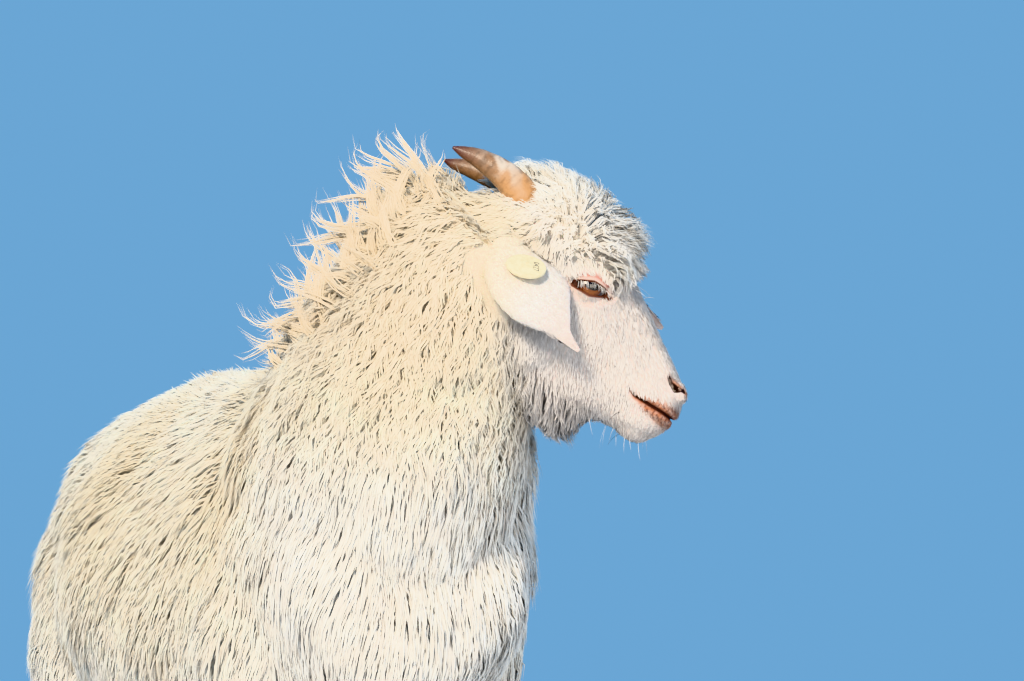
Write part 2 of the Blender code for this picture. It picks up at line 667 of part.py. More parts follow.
def make_ear(name, stations, side):
    """An ear as a cupped leaf with a thick rim, its root a stub sunk in the skull."""
    rows = smooth_rows(stations, 2)
    across = 4
    rings = []
    for i, row in enumerate(rows):
        point = Vector(row[:3])
        above, below, cup, twist = row[3:]
        ahead = Vector(rows[min(i + 1, len(rows) - 1), :3] - rows[max(i - 1, 0), :3]).normalized()
        outward = Vector((0, side, 0))
        outward = (outward - ahead * outward.dot(ahead)).normalized()
        outward = Matrix.Rotation(twist * side, 3, ahead) @ outward
        wide = outward.cross(ahead) * -side
        taper = 1 - 0.45 * i / (len(rows) - 1)
        outer, inner = [], []
        for j in range(across + 1):
            s = 2 * j / across - 1
            half_width = above if s > 0 else below
            place = point + wide * half_width * math.sin(s * math.pi / 2)
            place -= outward * cup * (1 - math.cos(s * 1.35))
            rim = EAR_THICK * taper * (0.5 + 0.5 * math.sqrt(1 - 0.85 * s * s))
            lean = (outward + wide * 0.9 * s * cup / max(half_width, 0.004)).normalized()
            outer.append(place + lean * rim / 2)
            inner.append(place - lean * rim / 2)
        rings.append(outer + inner[::-1])
    points, faces = skin_rings(rings)
    points, faces = points[:-2], faces[: -2 * len(rings[0])]
    turn, last = len(rings[0]) - 1, (len(rings) - 1) * len(rings[0])
    for j in range(across):
        faces.append((j, j + 1, turn - j - 1, turn - j))
        faces.append((last + turn - j, last + turn - j - 1, last + j + 1, last + j))
    return faces_out(mesh_object(name, points, faces))


def make_horn(name, side):
    """One horn, a bent cone with its root sunk in the skull."""
    rows = []
    for x, y, z, radius in HORN:
        share = float(np.interp(-x, (0.02, 0.07), (0, 1))) * (side > 0)
        centre = (x + LEFT_TIP_SHIFT[0] * share, side * y, z + LEFT_TIP_SHIFT[1] * share)
        rows.append((*centre, radius, radius, radius))
    return limb(name, rows, sides=10, steps=1)


def eye_matrix(side):
    """The eye's own frame, looking along +Z, its +X towards the muzzle."""
    look = Vector((EYE_LOOK.x, side * EYE_LOOK.y, EYE_LOOK.z)).normalized()
    along = (EYE_ALONG - look * EYE_ALONG.dot(look)).normalized()
    matrix = Matrix((along, look.cross(along), look)).transposed().to_4x4()
    matrix.translation = Vector((EYE_AT.x, side * EYE_AT.y, EYE_AT.z))
    return matrix


def make_eye(name, side):
    """The eyeball, with the cornea standing a little proud."""
    work = bmesh.new()
    bmesh.ops.create_uvsphere(work, u_segments=14, v_segments=8, radius=EYE_R)
    for vert in work.verts:
        height = vert.co.z / EYE_R
        if height > 0.75:
            vert.co *= 1 + 0.05 * (height - 0.75) / 0.25
    bmesh.ops.triangulate(work, faces=work.faces)
    bmesh.ops.transform(work, matrix=eye_matrix(side), verts=work.verts)
    mesh = bpy.data.meshes.new(name)
    work.to_mesh(mesh)
    work.free()
    obj = bpy.data.objects.new(name, mesh)
    bpy.context.scene.collection.objects.link(obj)
    return obj


def lid_opening(side):
    """The almond between the lids, as a prism along the eye's look."""
    rims = []
    for height in (0.2 * EYE_R, 3 * EYE_R):
        rim = []
        for j in range(14):
            turn = 2 * math.pi * j / 14
            x = LID_LENGTH / 2 * math.cos(turn)
            y = LID_HEIGHT / 2 * math.sin(turn) * (1 - 0.45 * abs(math.cos(turn)))
            rim.append(eye_matrix(side) @ Vector((x, y, height)))
        rims.append(rim)
    return faces_out(mesh_object("lid_opening", *skin_rings(rims)))


def make_claw(name, x, y, side):
    """One claw of a hoof: a flat inner side, a rounded wall and a flat sole on the ground."""
    levels = [
        (0.0, 0.0060, 0.0240, 0.0108),
        (0.014, 0.0025, 0.0220, 0.0112),
        (None, -0.0005, 0.0178, 0.0106),
    ]
    rings = []
    for level, ahead, half_length, half_width in levels:
        ring = []
        for j in range(10):
            turn = 2 * math.pi * (j + 0.5) / 10
            px = ahead + half_length * math.cos(turn)
            wide = half_width * max(math.sin(turn), -0.5) * (1 - 0.25 * max(math.cos(turn), 0))
            py = CLEFT + 0.5 * half_width + wide
            pz = coronet(px) - GAP if level is None else level
            ring.append(Vector((x + px, y + side * py, pz)))
        rings.append(ring)
    return faces_out(mesh_object(name, *skin_rings(rings)))


def coronet(ahead):
    """Height of the hoof's upper edge, that far ahead of the foot's middle."""
    return HOOF_Z + HOOF_SLOPE * ahead


def make_tag():
    """The ear tag: a round button outside the ear, a stem through it and a stud inside."""
    profile = [
        (0.0, 0.0034),
        (0.0130, 0.0030),
        (TAG_R, 0.0018),
        (TAG_R, 0.0),
        (TAG_STEM, 0.0),
        (TAG_STEM, -0.0048),
        (0.0060, -0.0052),
        (0.0060, -0.0066),
        (0.0, -0.0074),
    ]
    sides = 14
    points, faces = [Vector((0, 0, profile[0][1]))], []
    for radius, height in profile[1:-1]:
        for j in range(sides):
            turn = 2 * math.pi * j / sides
            points.append(Vector((radius * math.cos(turn), radius * math.sin(turn), height)))
    points.append(Vector((0, 0, profile[-1][1])))
    for j in range(sides):
        k = (j + 1) % sides
        faces.append((0, 1 + j, 1 + k))
        faces.append((len(points) - 1, len(points) - 1 - sides + k, len(points) - 1 - sides + j))
        for i in range(len(profile) - 3):
            a = 1 + i * sides
            faces.append((a + j, a + sides + j, a + sides + k, a + k))
    return faces_out(mesh_object("ear_tag", points, faces))


def swollen(obj, amount):
    """A copy with its surface moved out by that much."""
    twin = copy_of(obj, "swollen")
    normals = [v.normal.copy() for v in twin.data.vertices]
    for vert, normal in zip(twin.data.vertices, normals):
        vert.co += normal * amount
    return twin


def frame_matrix(ahead, up, at):
    """A frame with +Z along ahead and +Y near up."""
    z = Vector(ahead).normalized()
    x = Vector(up).cross(z).normalized()
    matrix = Matrix((x, z.cross(x), z)).transposed().to_4x4()
    matrix.translation = Vector(at)
    return matrix


def region_box(matrix, low, high, grow):
    """A box in its own frame, grown on every side."""
    low = [v - grow for v in low]
    high = [v + grow for v in high]
    corners = [matrix @ Vector(corner) for corner in itertools.product(*zip(low, high))]
    faces = [(0, 1, 3, 2), (4, 6, 7, 5), (0, 4, 5, 1), (2, 3, 7, 6), (0, 2, 6, 4), (1, 5, 7, 3)]
    return faces_out(mesh_object("region", corners, faces))


def regions():
    """Where the whole is parted: each node's name, its region, and that region grown by the gap."""
    head = frame_matrix(NAPE_PLANE, HEAD_Z, HEAD_ORIGIN - NAPE_PLANE * HEAD_BACK)
    neck = frame_matrix(NECK_WAY, (0, 0, 1), (0.2, 0, 0.47))
    made = [
        ("head", head, (-0.2, -0.155, 0), (0.2, 0.3, 0.4)),
        ("neck", neck, (-0.3, -0.4, 0), (0.3, 0.6, 0.6)),
        ("tail", Matrix.Identity(4), (-0.5, -0.06, TAIL_Z), (TAIL_X, 0.06, 0.6)),
    ]
    return [(name, region_box(matrix, low, high, 0), region_box(matrix, low, high, GAP))
            for name, matrix, low, high in made]


def leg_regions():
    """The same for the legs: their own lofts below where they leave the body, and all of the foot."""
    made = []
    for word, side in (("left", 1), ("right", -1)):
        for name, stations, x, y, top in (
            ("fore", FORE_LEG, FORE_X, FORE_Y, FORE_TOP),
            ("hind", HIND_LEG, HIND_X, HIND_Y, HIND_TOP),
        ):
            pair = []
            for grow in (0, GAP):
                rows = placed_leg(stations, x, y, side)
                leg = limb("region", rows, sides=12, steps=2, grow=LEG_CLEAR + grow)
                boolean(leg, region_box(Matrix.Identity(4), (-1, -1, -1), (1, 1, top), grow), "INTERSECT")
                middle = (x, side * y, 0)
                foot = Matrix.Translation(middle)
                boolean(leg, region_box(foot, (-0.09, -0.06, -0.1), (0.09, 0.06, 0.20), grow), "UNION")
                pair.append(leg)
            made.append((f"leg_{name}_{word}", *pair))
    return made


def foot_at(name):
    """Where the left foot of the fore or hind pair stands."""
    x, y, station = (FORE_X, FORE_Y, FORE_LEG[-1]) if name == "fore" else (HIND_X, HIND_Y, HIND_LEG[-1])
    return x + station[0], y


def part_whole(whole):
    """Parts the whole into its nodes, with a gap of GAP at every cut."""
    pieces = {}
    for name, region, grown_region in regions() + leg_regions():
        piece = copy_of(whole, name)
        boolean(piece, region, "INTERSECT")
        boolean(whole, grown_region, "DIFFERENCE")
        pieces[name] = merge_flats(keep_largest(piece))
        keep_largest(whole)
    whole.name = "torso"
    pieces["torso"] = whole
    return pieces


def trim_feet(pieces):
    """Cuts each leg off at the upper edge of its hoof."""
    for name in ("fore", "hind"):
        x, y = foot_at(name)
        for word, side in (("left", 1), ("right", -1)):
            leg = pieces[f"leg_{name}_{word}"]
            slope = frame_matrix((-HOOF_SLOPE, 0, 1), (1, 0, 0), (x, side * y, HOOF_Z))
            boolean(leg, region_box(slope, (-0.1, -0.1, -0.1), (0.1, 0.1, 0), 0), "DIFFERENCE")
            keep_largest(leg)


def shape_face(head):
    """Cuts the lids' opening, the nostrils and the mouth into the head."""
    cutters = []
    for side in (1, -1):
        cutters.append(lid_opening(side))
        nostril = ellipsoid("nostril", (0, 0, 0), (0.0068, 0.0065, 0.0024), 10, 6)
        nostril.data.transform(Matrix.Rotation(side * 0.45, 4, "Z") @ Matrix.Rotation(0.75, 4, "Y"))
        nostril.data.transform(Matrix.Translation((NOSTRIL.x, side * NOSTRIL.y, NOSTRIL.z)))
        cutters.append(nostril)
    slope = frame_matrix((-MOUTH_RISE, 0, 1), (1, 0, 0), (MOUTH_X, 0, MOUTH_Z))
    cutters.append(region_box(slope, (-0.05, 0, -MOUTH_SLIT / 2), (0.05, 0.06, MOUTH_SLIT / 2), 0))
    for cutter in cutters:
        cutter.data.transform(HEAD_MATRIX)
        boolean(head, cutter, "DIFFERENCE")
    keep_largest(head)


def clear_of(node, fitted):
    """Cuts the pieces' sockets into a node, with a gap all round."""
    for piece in fitted.values():
        boolean(node, swollen(piece, GAP), "DIFFERENCE")
    keep_largest(node)


def place_tag(fitted):
    """Sets the tag on the right ear and cuts its seat and the hole for its stem."""
    tag = make_tag()
    ear = fitted["ear_right"]
    tree = BVHTree.FromPolygons([v.co for v in ear.data.vertices], [p.vertices for p in ear.data.polygons])
    aim = HEAD_MATRIX @ Vector((TAG_AT[0], -0.3, TAG_AT[1]))
    hit, normal, _, _ = tree.ray_cast(aim, HEAD_Y)
    matrix = frame_matrix(normal, HEAD_Z, hit + normal * TAG_OFF)
    tag.data.transform(matrix)
    boolean(ear, swollen(tag, GAP), "DIFFERENCE")
    fitted["ear_tag"] = tag


def finish_nodes(pieces):
    """Names each node, sets the whole over the origin on its feet and gives each node its material."""
    points = np.array([v.co for piece in pieces.values() for v in piece.data.vertices])
    low, high = points.min(axis=0), points.max(axis=0)
    shift = Matrix.Translation((-(low[0] + high[0]) / 2, -(low[1] + high[1]) / 2, -low[2]))
    for name, piece in pieces.items():
        piece.data.transform(shift)
        piece.name = name
        piece.data.name = name
        kind = next((k for k in COLOURS if name.startswith(k)), "coat")
        piece.data.materials.clear()
        piece.data.materials.append(material(name, COLOURS[kind], ROUGHNESS[kind]))
        for polygon in piece.data.polygons:
            polygon.material_index = 0
            polygon.use_smooth = False


def main():
    clear_scene()
    body = make_body()
    head = make_skull()
    body_locks = grow_locks(body, body_coat, lie_on_body(), SEED)
    head_locks = grow_locks(head, head_coat, lie_on_head(), SEED + 1)
    boolean(body, body_locks, "UNION")
    boolean(head, head_locks, "UNION")
    boolean(body, head, "UNION")
    whole = keep_largest(body)
    merge_flats(whole)
    pieces = part_whole(whole)
    trim_feet(pieces)
    fitted = {}
    for word, side in (("left", 1), ("right", -1)):
        fitted[f"eye_{word}"] = make_eye(f"eye_{word}", side)
        fitted[f"horn_{word}"] = make_horn(f"horn_{word}", side)
        fitted[f"ear_{word}"] = make_ear(f"ear_{word}", EAR_LEFT if side > 0 else EAR_RIGHT, side)
    for piece in fitted.values():
        piece.data.transform(HEAD_MATRIX)
    shape_face(pieces["head"])
    clear_of(pieces["head"], fitted)
    merge_flats(pieces["head"])
    merge_flats(pieces["torso"])
    clear_of(pieces["neck"], {name: piece for name, piece in fitted.items() if name.startswith("ear")})
    place_tag(fitted)
    pieces.update(fitted)
    for name in ("fore", "hind"):
        x, y = foot_at(name)
        for word, side in (("left", 1), ("right", -1)):
            for which, lean in (("outer", side), ("inner", -side)):
                node = f"claw_{name}_{word}_{which}"
                pieces[node] = make_claw(node, x, side * y, lean)
    finish_nodes(pieces)


main()
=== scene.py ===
"""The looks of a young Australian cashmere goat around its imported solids.

One skin stands for the nodes of flesh. Over it lie tufts of coat, joined into meshes by region. Eyes, horns,
hooves and the ear tag are pieces of their own. Places in the tables are in the frame that the solids were
modelled in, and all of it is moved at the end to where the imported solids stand.
"""

import math

import bmesh
import bpy
import numpy as np
from mathutils import Matrix, Vector
from mathutils.bvhtree import BVHTree
from mathutils.kdtree import KDTree


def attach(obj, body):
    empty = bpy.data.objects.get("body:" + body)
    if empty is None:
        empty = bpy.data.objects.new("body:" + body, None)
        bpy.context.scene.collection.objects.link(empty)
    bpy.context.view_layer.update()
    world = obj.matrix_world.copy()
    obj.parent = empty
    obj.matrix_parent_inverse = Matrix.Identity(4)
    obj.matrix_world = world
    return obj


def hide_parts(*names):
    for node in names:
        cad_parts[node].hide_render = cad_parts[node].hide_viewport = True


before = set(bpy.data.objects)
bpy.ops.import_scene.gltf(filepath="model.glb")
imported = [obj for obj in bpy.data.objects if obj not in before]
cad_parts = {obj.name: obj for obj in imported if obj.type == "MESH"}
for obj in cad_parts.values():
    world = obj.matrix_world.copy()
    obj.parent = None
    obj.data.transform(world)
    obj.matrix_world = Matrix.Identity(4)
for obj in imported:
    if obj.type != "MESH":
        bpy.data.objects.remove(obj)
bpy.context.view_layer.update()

# Driving dimensions, shared with the solids
HEAD_TURN = math.radians(68)
HEAD_PITCH = math.radians(40)
HEAD_ORIGIN = Vector((0.333, 0.0495, 0.649))
FORE_X, FORE_Y = 0.165, 0.080
HIND_X, HIND_Y = -0.235, 0.078
COAT_SIDE = 0.040
COAT_NECK = 0.038
EYE_R = 0.0142
EYE_AT = Vector((0.0680, 0.0370, 0.0190))
EYE_LOOK = Vector((0.22, 1, 0.12))
EYE_ALONG = Vector((1, 0, 0.40))
TAG_R, TAG_STEM = 0.0150, 0.0025
TAG_AT = (0.0260, -0.0023)
TAG_FACING = (-0.50, -0.42, 0.78)
HOOF_Z = 0.030
CLEFT = 0.0006
EAR_THICK = 0.0026

# The skin
SKIN_SHARE = 0.58  # share of the coat's depth that the skin takes as underwool
BODY_VOXEL, HEAD_VOXEL = 0.0050, 0.0015
LID_LENGTH, LID_HEIGHT = 0.0262, 0.0084  # the opening between the lids
LID_DROOP = 0.0012  # the upper lid comes down by this much less than the lower one goes
EYE_REACH = 0.012  # how far off the eyeball the skin still takes the lids' forms and colours

# The photograph's camera, in the solids' modelling frame
LENS = 227.8
CAMERA_BACK = 5.09  # from the point aimed at
CAMERA_AIM = Vector((0.0676, 0.1664, 0.3824))
CAMERA_TILT = math.radians(2.38)

HEADING = Vector((math.cos(HEAD_TURN), math.sin(HEAD_TURN), 0))
HEAD_X = HEADING * math.cos(HEAD_PITCH) - Vector((0, 0, 1)) * math.sin(HEAD_PITCH)
HEAD_Z = HEADING * math.sin(HEAD_PITCH) + Vector((0, 0, 1)) * math.cos(HEAD_PITCH)
HEAD_Y = HEAD_Z.cross(HEAD_X)
HEAD_MATRIX = Matrix((HEAD_X, HEAD_Y, HEAD_Z)).transposed().to_4x4()
HEAD_MATRIX.translation = HEAD_ORIGIN
NAPE_PLANE = HEAD_X * 0.61 + HEAD_Z * 0.79  # across the neck behind the ears
RIGHT = HEADING  # the picture's right, because the head is in profile
RIGHT_ARRAY = np.array(RIGHT)
AWAY = Vector((-math.sin(HEAD_TURN), math.cos(HEAD_TURN), 0))  # away from the camera

# Sections: x, y, z of the centre, then half width, half height above and below it
TORSO = [
    (0.306, 0, 0.415, 0.030, 0.034, 0.044),
    (0.284, 0, 0.415, 0.062, 0.058, 0.072),
    (0.205, 0, 0.416, 0.090, 0.102, 0.106),
    (0.150, 0, 0.410, 0.100, 0.125, 0.125),
    (0.060, 0, 0.402, 0.110, 0.130, 0.130),
    (-0.040, 0, 0.398, 0.120, 0.134, 0.126),
    (-0.120, 0, 0.406, 0.112, 0.131, 0.108),
    (-0.190, 0, 0.424, 0.094, 0.114, 0.092),
    (-0.245, 0, 0.436, 0.078, 0.086, 0.078),
    (-0.285, 0, 0.440, 0.054, 0.056, 0.056),
    (-0.302, 0, 0.440, 0.020, 0.020, 0.020),
]
NECK = [
    (0.110, 0, 0.425, 0.070, 0.085, 0.080),
    (0.195, 0, 0.468, 0.084, 0.082, 0.100),
    (0.262, 0, 0.530, 0.066, 0.071, 0.086),
    (0.303, 0.012, 0.585, 0.050, 0.066, 0.056),
    (0.325, 0.030, 0.632, 0.043, 0.058, 0.047),
    (0.336, 0.045, 0.655, 0.036, 0.042, 0.036),
]
FORE_LEG = [
    (-0.035, -0.014, 0.470, 0.030, 0.045, 0.045),
    (0.015, -0.004, 0.415, 0.038, 0.050, 0.050),
    (0.005, 0.004, 0.360, 0.036, 0.050, 0.045),
    (-0.010, 0.004, 0.315, 0.028, 0.036, 0.036),
    (-0.005, 0.002, 0.270, 0.0225, 0.0275, 0.0275),
    (0.000, 0.001, 0.220, 0.0175, 0.0190, 0.0190),
    (0.004, 0.000, 0.193, 0.0195, 0.0210, 0.0200),
    (0.003, 0.000, 0.170, 0.0175, 0.0185, 0.0185),
    (0.000, 0.000, 0.130, 0.0120, 0.0130, 0.0130),
    (0.000, 0.000, 0.098, 0.0130, 0.0145, 0.0145),
    (0.002, 0.000, 0.082, 0.0150, 0.0160, 0.0165),
    (0.013, 0.000, 0.060, 0.0140, 0.0140, 0.0150),
    (0.022, 0.000, 0.044, 0.0165, 0.0165, 0.0175),
    (0.028, 0.000, 0.034, 0.0165, 0.0175, 0.0175),
    (0.029, 0.000, 0.014, 0.0100, 0.0100, 0.0100),
]
HIND_LEG = [
    (0.048, -0.020, 0.470, 0.035, 0.060, 0.060),
    (0.046, 0.000, 0.405, 0.046, 0.080, 0.076),
    (0.050, 0.010, 0.350, 0.044, 0.074, 0.070),
    (0.034, 0.010, 0.305, 0.036, 0.054, 0.056),
    (0.000, 0.006, 0.258, 0.0250, 0.0320, 0.0340),
    (-0.030, 0.002, 0.222, 0.0175, 0.0200, 0.0240),
    (-0.034, 0.000, 0.200, 0.0170, 0.0190, 0.0210),
    (-0.026, 0.000, 0.165, 0.0135, 0.0150, 0.0150),
    (-0.018, 0.000, 0.125, 0.0125, 0.0135, 0.0135),
    (-0.012, 0.000, 0.098, 0.0135, 0.0145, 0.0145),
    (-0.009, 0.000, 0.082, 0.0150, 0.0160, 0.0165),
    (0.003, 0.000, 0.060, 0.0140, 0.0140, 0.0150),
    (0.012, 0.000, 0.044, 0.0165, 0.0165, 0.0175),
    (0.018, 0.000, 0.034, 0.0165, 0.0175, 0.0175),
    (0.019, 0.000, 0.014, 0.0100, 0.0100, 0.0100),
]
DEWCLAWS = [
    (x - 0.018, y + lean * 0.0095, 0.071)
    for x, y in ((FORE_X, FORE_Y), (HIND_X - 0.011, HIND_Y))
    for lean in (1, -1)
]
TAIL = [
    (-0.270, 0, 0.500, 0.022, 0.020, 0.022),
    (-0.305, 0, 0.515, 0.020, 0.017, 0.018),
    (-0.335, 0, 0.520, 0.018, 0.015, 0.015),
    (-0.362, 0, 0.508, 0.014, 0.012, 0.012),
    (-0.378, 0, 0.485, 0.009, 0.008, 0.008),
]
LEFT_TIP_SHIFT = (-0.0020, -0.0085)  # of the left horn's tip from the right one's place, along x and z
# A horn's path in the head's frame, with its radius
HORN = [
    (0.000, 0.020, 0.0240, 0.0125),
    (-0.0100, 0.022, 0.0385, 0.0130),
    (-0.029, 0.0245, 0.0430, 0.0112),
    (-0.051, 0.0270, 0.0412, 0.0080),
    (-0.066, 0.0290, 0.0370, 0.0045),
    (-0.0745, 0.0300, 0.0345, 0.0010),
]
# The skin is painted darker around this place, as shade in the crevice.
EAR_CREVICE = (-0.006, 0.052, -0.0174)  # where the ear's lower edge meets the head
# The ears in the head's frame: the path's x, y, z, half widths above and below it, cup depth and twist
EAR_RIGHT = [
    (-0.024, -0.028, -0.002, 0.0120, 0.0120, 0.0100, 0.0),
    (-0.012, -0.046, 0.000, 0.0160, 0.0160, 0.0120, 0.2),
    (0.006, -0.062, -0.001, 0.0210, 0.0200, 0.0130, 0.5),
    (0.028, -0.073, -0.005, 0.0290, 0.0270, 0.0120, 0.6),
    (0.050, -0.077, -0.009, 0.0275, 0.0260, 0.0100, 0.5),
    (0.067, -0.077, -0.0140, 0.0140, 0.0165, 0.0070, 0.4),
    (0.079, -0.075, -0.0190, 0.0050, 0.0070, 0.0030, 0.3),
    (0.0945, -0.073, -0.0225, 0.0012, 0.0014, 0.0006, 0.2),
]
EAR_LEFT = [
    (-0.024, 0.028, -0.002, 0.0120, 0.0120, 0.0100, 0.0),
    (-0.012, 0.044, 0.001, 0.0160, 0.0160, 0.0120, 0.2),
    (0.010, 0.059, 0.006, 0.0210, 0.0200, 0.0130, 0.4),
    (0.038, 0.070, 0.013, 0.0270, 0.0260, 0.0110, 0.4),
    (0.070, 0.077, 0.022, 0.0250, 0.0240, 0.0090, 0.3),
    (0.098, 0.080, 0.031, 0.0140, 0.0150, 0.0060, 0.2),
    (0.116, 0.081, 0.036, 0.0060, 0.0065, 0.0030, 0.2),
    (0.129, 0.080, 0.037, 0.0012, 0.0014, 0.0006, 0.2),
]
# Sections of the head: x, then top z, brow width and z, mid width and z, jaw width and z, bottom z
SKULL = [
    (-0.045, 0.012, 0.028, 0.000, 0.034, -0.024, 0.026, -0.048, -0.058),
    (-0.020, 0.038, 0.034, 0.026, 0.041, -0.015, 0.031, -0.060, -0.074),
    (0.005, 0.050, 0.036, 0.038, 0.045, -0.008, 0.033, -0.065, -0.081),
    (0.035, 0.056, 0.037, 0.045, 0.047, 0.000, 0.033, -0.065, -0.081),
    (0.065, 0.054, 0.037, 0.043, 0.047, 0.006, 0.031, -0.059, -0.075),
    (0.090, 0.046, 0.030, 0.036, 0.042, 0.001, 0.027, -0.051, -0.067),
    (0.112, 0.0355, 0.0225, 0.028, 0.0340, -0.006, 0.0235, -0.045, -0.0595),
    (0.135, 0.0245, 0.0180, 0.018, 0.0285, -0.013, 0.0205, -0.038, -0.0490),
    (0.155, 0.0160, 0.0165, 0.010, 0.0265, -0.014, 0.0195, -0.036, -0.0450),
    (0.168, 0.0095, 0.0160, 0.003, 0.0240, -0.012, 0.0175, -0.032, -0.0400),
    (0.1755, 0.0020, 0.0125, -0.004, 0.0185, -0.013, 0.0135, -0.027, -0.0340),
    (0.1800, -0.0080, 0.0050, -0.010, 0.0080, -0.015, 0.0060, -0.021, -0.0240),
]
# The mouth's line as the face is seen from the side, and one nostril's, in the head's frame
MOUTH_LINE = [
    (0.1400, 0, -0.0185),
    (0.1460, 0, -0.0192),
    (0.1580, 0, -0.0178),
    (0.1690, 0, -0.0160),
    (0.1780, 0, -0.0150),
    (0.1810, 0, -0.0150),
]
NOSTRIL_LINE = [
    (0.1570, 0.0190, 0.0078),
    (0.1608, 0.0185, 0.0044),
    (0.1660, 0.0170, 0.0034),
    (0.1708, 0.0138, 0.0046),
]

# The lie of the coat on the body: a place, and the way the hair runs there
LIE_MIDDLE = [
    ((0.10, 0, 0.54), (-1.0, 0, -0.2)),
    ((-0.10, 0, 0.53), (-1.0, 0, 0.0)),
    ((-0.26, 0, 0.51), (-0.8, 0, -0.6)),
    ((-0.30, 0, 0.44), (0.0, 0, -1.0)),
    ((0.00, 0, 0.26), (-1.0, 0, 0.0)),
    ((0.27, 0, 0.40), (-0.2, 0, -1.0)),
    ((0.30, 0, 0.50), (-0.2, 0, -1.0)),
    ((0.22, 0, 0.56), (-0.7, 0, -0.7)),
    ((0.34, 0.03, 0.55), (-0.2, -0.1, -1.0)),
    ((0.28, 0.00, 0.63), (-0.7, -0.2, -0.5)),
    ((0.30, 0.00, 0.70), (-0.5, -0.4, 0.6)),
    ((-0.33, 0, 0.53), (-1.0, 0, -0.2)),
    ((-0.37, 0, 0.47), (-0.2, 0, -1.0)),
]
LIE_SIDES = [
    ((0.10, 0.09, 0.48), (-0.75, 0.3, -0.6)),
    ((-0.05, 0.11, 0.47), (-0.7, 0.0, -0.7)),
    ((-0.20, 0.09, 0.48), (-0.7, 0.0, -0.7)),
    ((0.12, 0.12, 0.40), (-0.55, 0.0, -0.85)),
    ((-0.05, 0.13, 0.40), (-0.55, 0.0, -0.85)),
    ((-0.20, 0.13, 0.38), (-0.4, 0.0, -0.9)),
    ((0.10, 0.10, 0.32), (-0.4, 0.0, -0.9)),
    ((-0.05, 0.10, 0.31), (-0.5, -0.2, -0.9)),
    ((0.25, 0.07, 0.42), (0.1, 0.6, -0.9)),
    ((0.26, 0.05, 0.50), (0.0, 0.5, -0.9)),
    ((0.20, 0.09, 0.50), (-0.1, 0.5, -0.9)),
    ((0.28, 0.06, 0.58), (-0.3, 0.3, -0.9)),
    ((0.165, 0.08, 0.20), (0.0, 0.0, -1.0)),
    ((-0.24, 0.08, 0.24), (-0.2, 0.0, -1.0)),
    ((0.175, 0.08, 0.06), (0.2, 0.0, -1.0)),
    ((-0.24, 0.08, 0.06), (0.2, 0.0, -1.0)),
]
# The lie of the hair on the head, in the head's frame
LIE_HEAD = [
    ((0.075, 0, 0.058), (0.7, 0, 0.5)),
    ((0.035, 0, 0.060), (0.5, 0, 0.8)),
    ((0.000, 0, 0.052), (-0.2, 0, 1.0)),
    ((-0.030, 0, 0.030), (-1.0, 0, 0.1)),
    ((0.105, 0, 0.040), (1.0, 0, -0.4)),
    ((0.145, 0, 0.020), (1.0, 0, -0.5)),
    ((0.175, 0, 0.004), (0.7, 0, -0.8)),
    ((0.150, 0, -0.050), (0.3, 0, -0.9)),
    ((0.090, 0, -0.080), (0.4, 0, -0.9)),
    ((0.040, 0, -0.085), (0.3, 0, -0.9)),
]
LIE_HEAD_SIDES = [
    ((0.030, 0.035, 0.040), (0.1, 0.8, -0.2)),
    ((0.065, 0.030, 0.045), (0.7, 0.6, -0.1)),
    ((0.088, 0.038, 0.030), (0.9, 0.2, -0.4)),
    ((0.110, 0.030, 0.010), (0.8, 0.0, -0.6)),
    ((0.140, 0.027, -0.005), (0.8, 0.0, -0.7)),
    ((0.150, 0.025, -0.030), (0.5, 0.0, -0.9)),
    ((0.090, 0.042, -0.010), (0.6, 0.0, -0.8)),
    ((0.060, 0.046, -0.020), (0.5, 0.0, -0.85)),
    ((0.090, 0.030, -0.050), (0.6, 0.0, -0.8)),
    ((0.030, 0.046, -0.010), (0.3, 0.0, -0.9)),
    ((0.020, 0.040, -0.050), (0.5, 0.0, -0.8)),
    ((-0.010, 0.044, 0.010), (-0.5, 0.2, -0.7)),
]

LEG_NODES = tuple(f"leg_{end}_{word}" for end in ("fore", "hind") for word in ("left", "right"))
FLESH_NODES = ("torso", "neck", "head", "tail", *LEG_NODES)

MANE_TOP, MANE_BEND = 0.722, 0.020  # the mane's wisps bend over above the first, within the second
WITHERS = (0.075, 0.068, 0.532)  # the lie parts here on each side, so the tufts stand closer
WHORL = (0.037, 0.034, 0.050)  # the hair of the topknot runs away from it, on each side

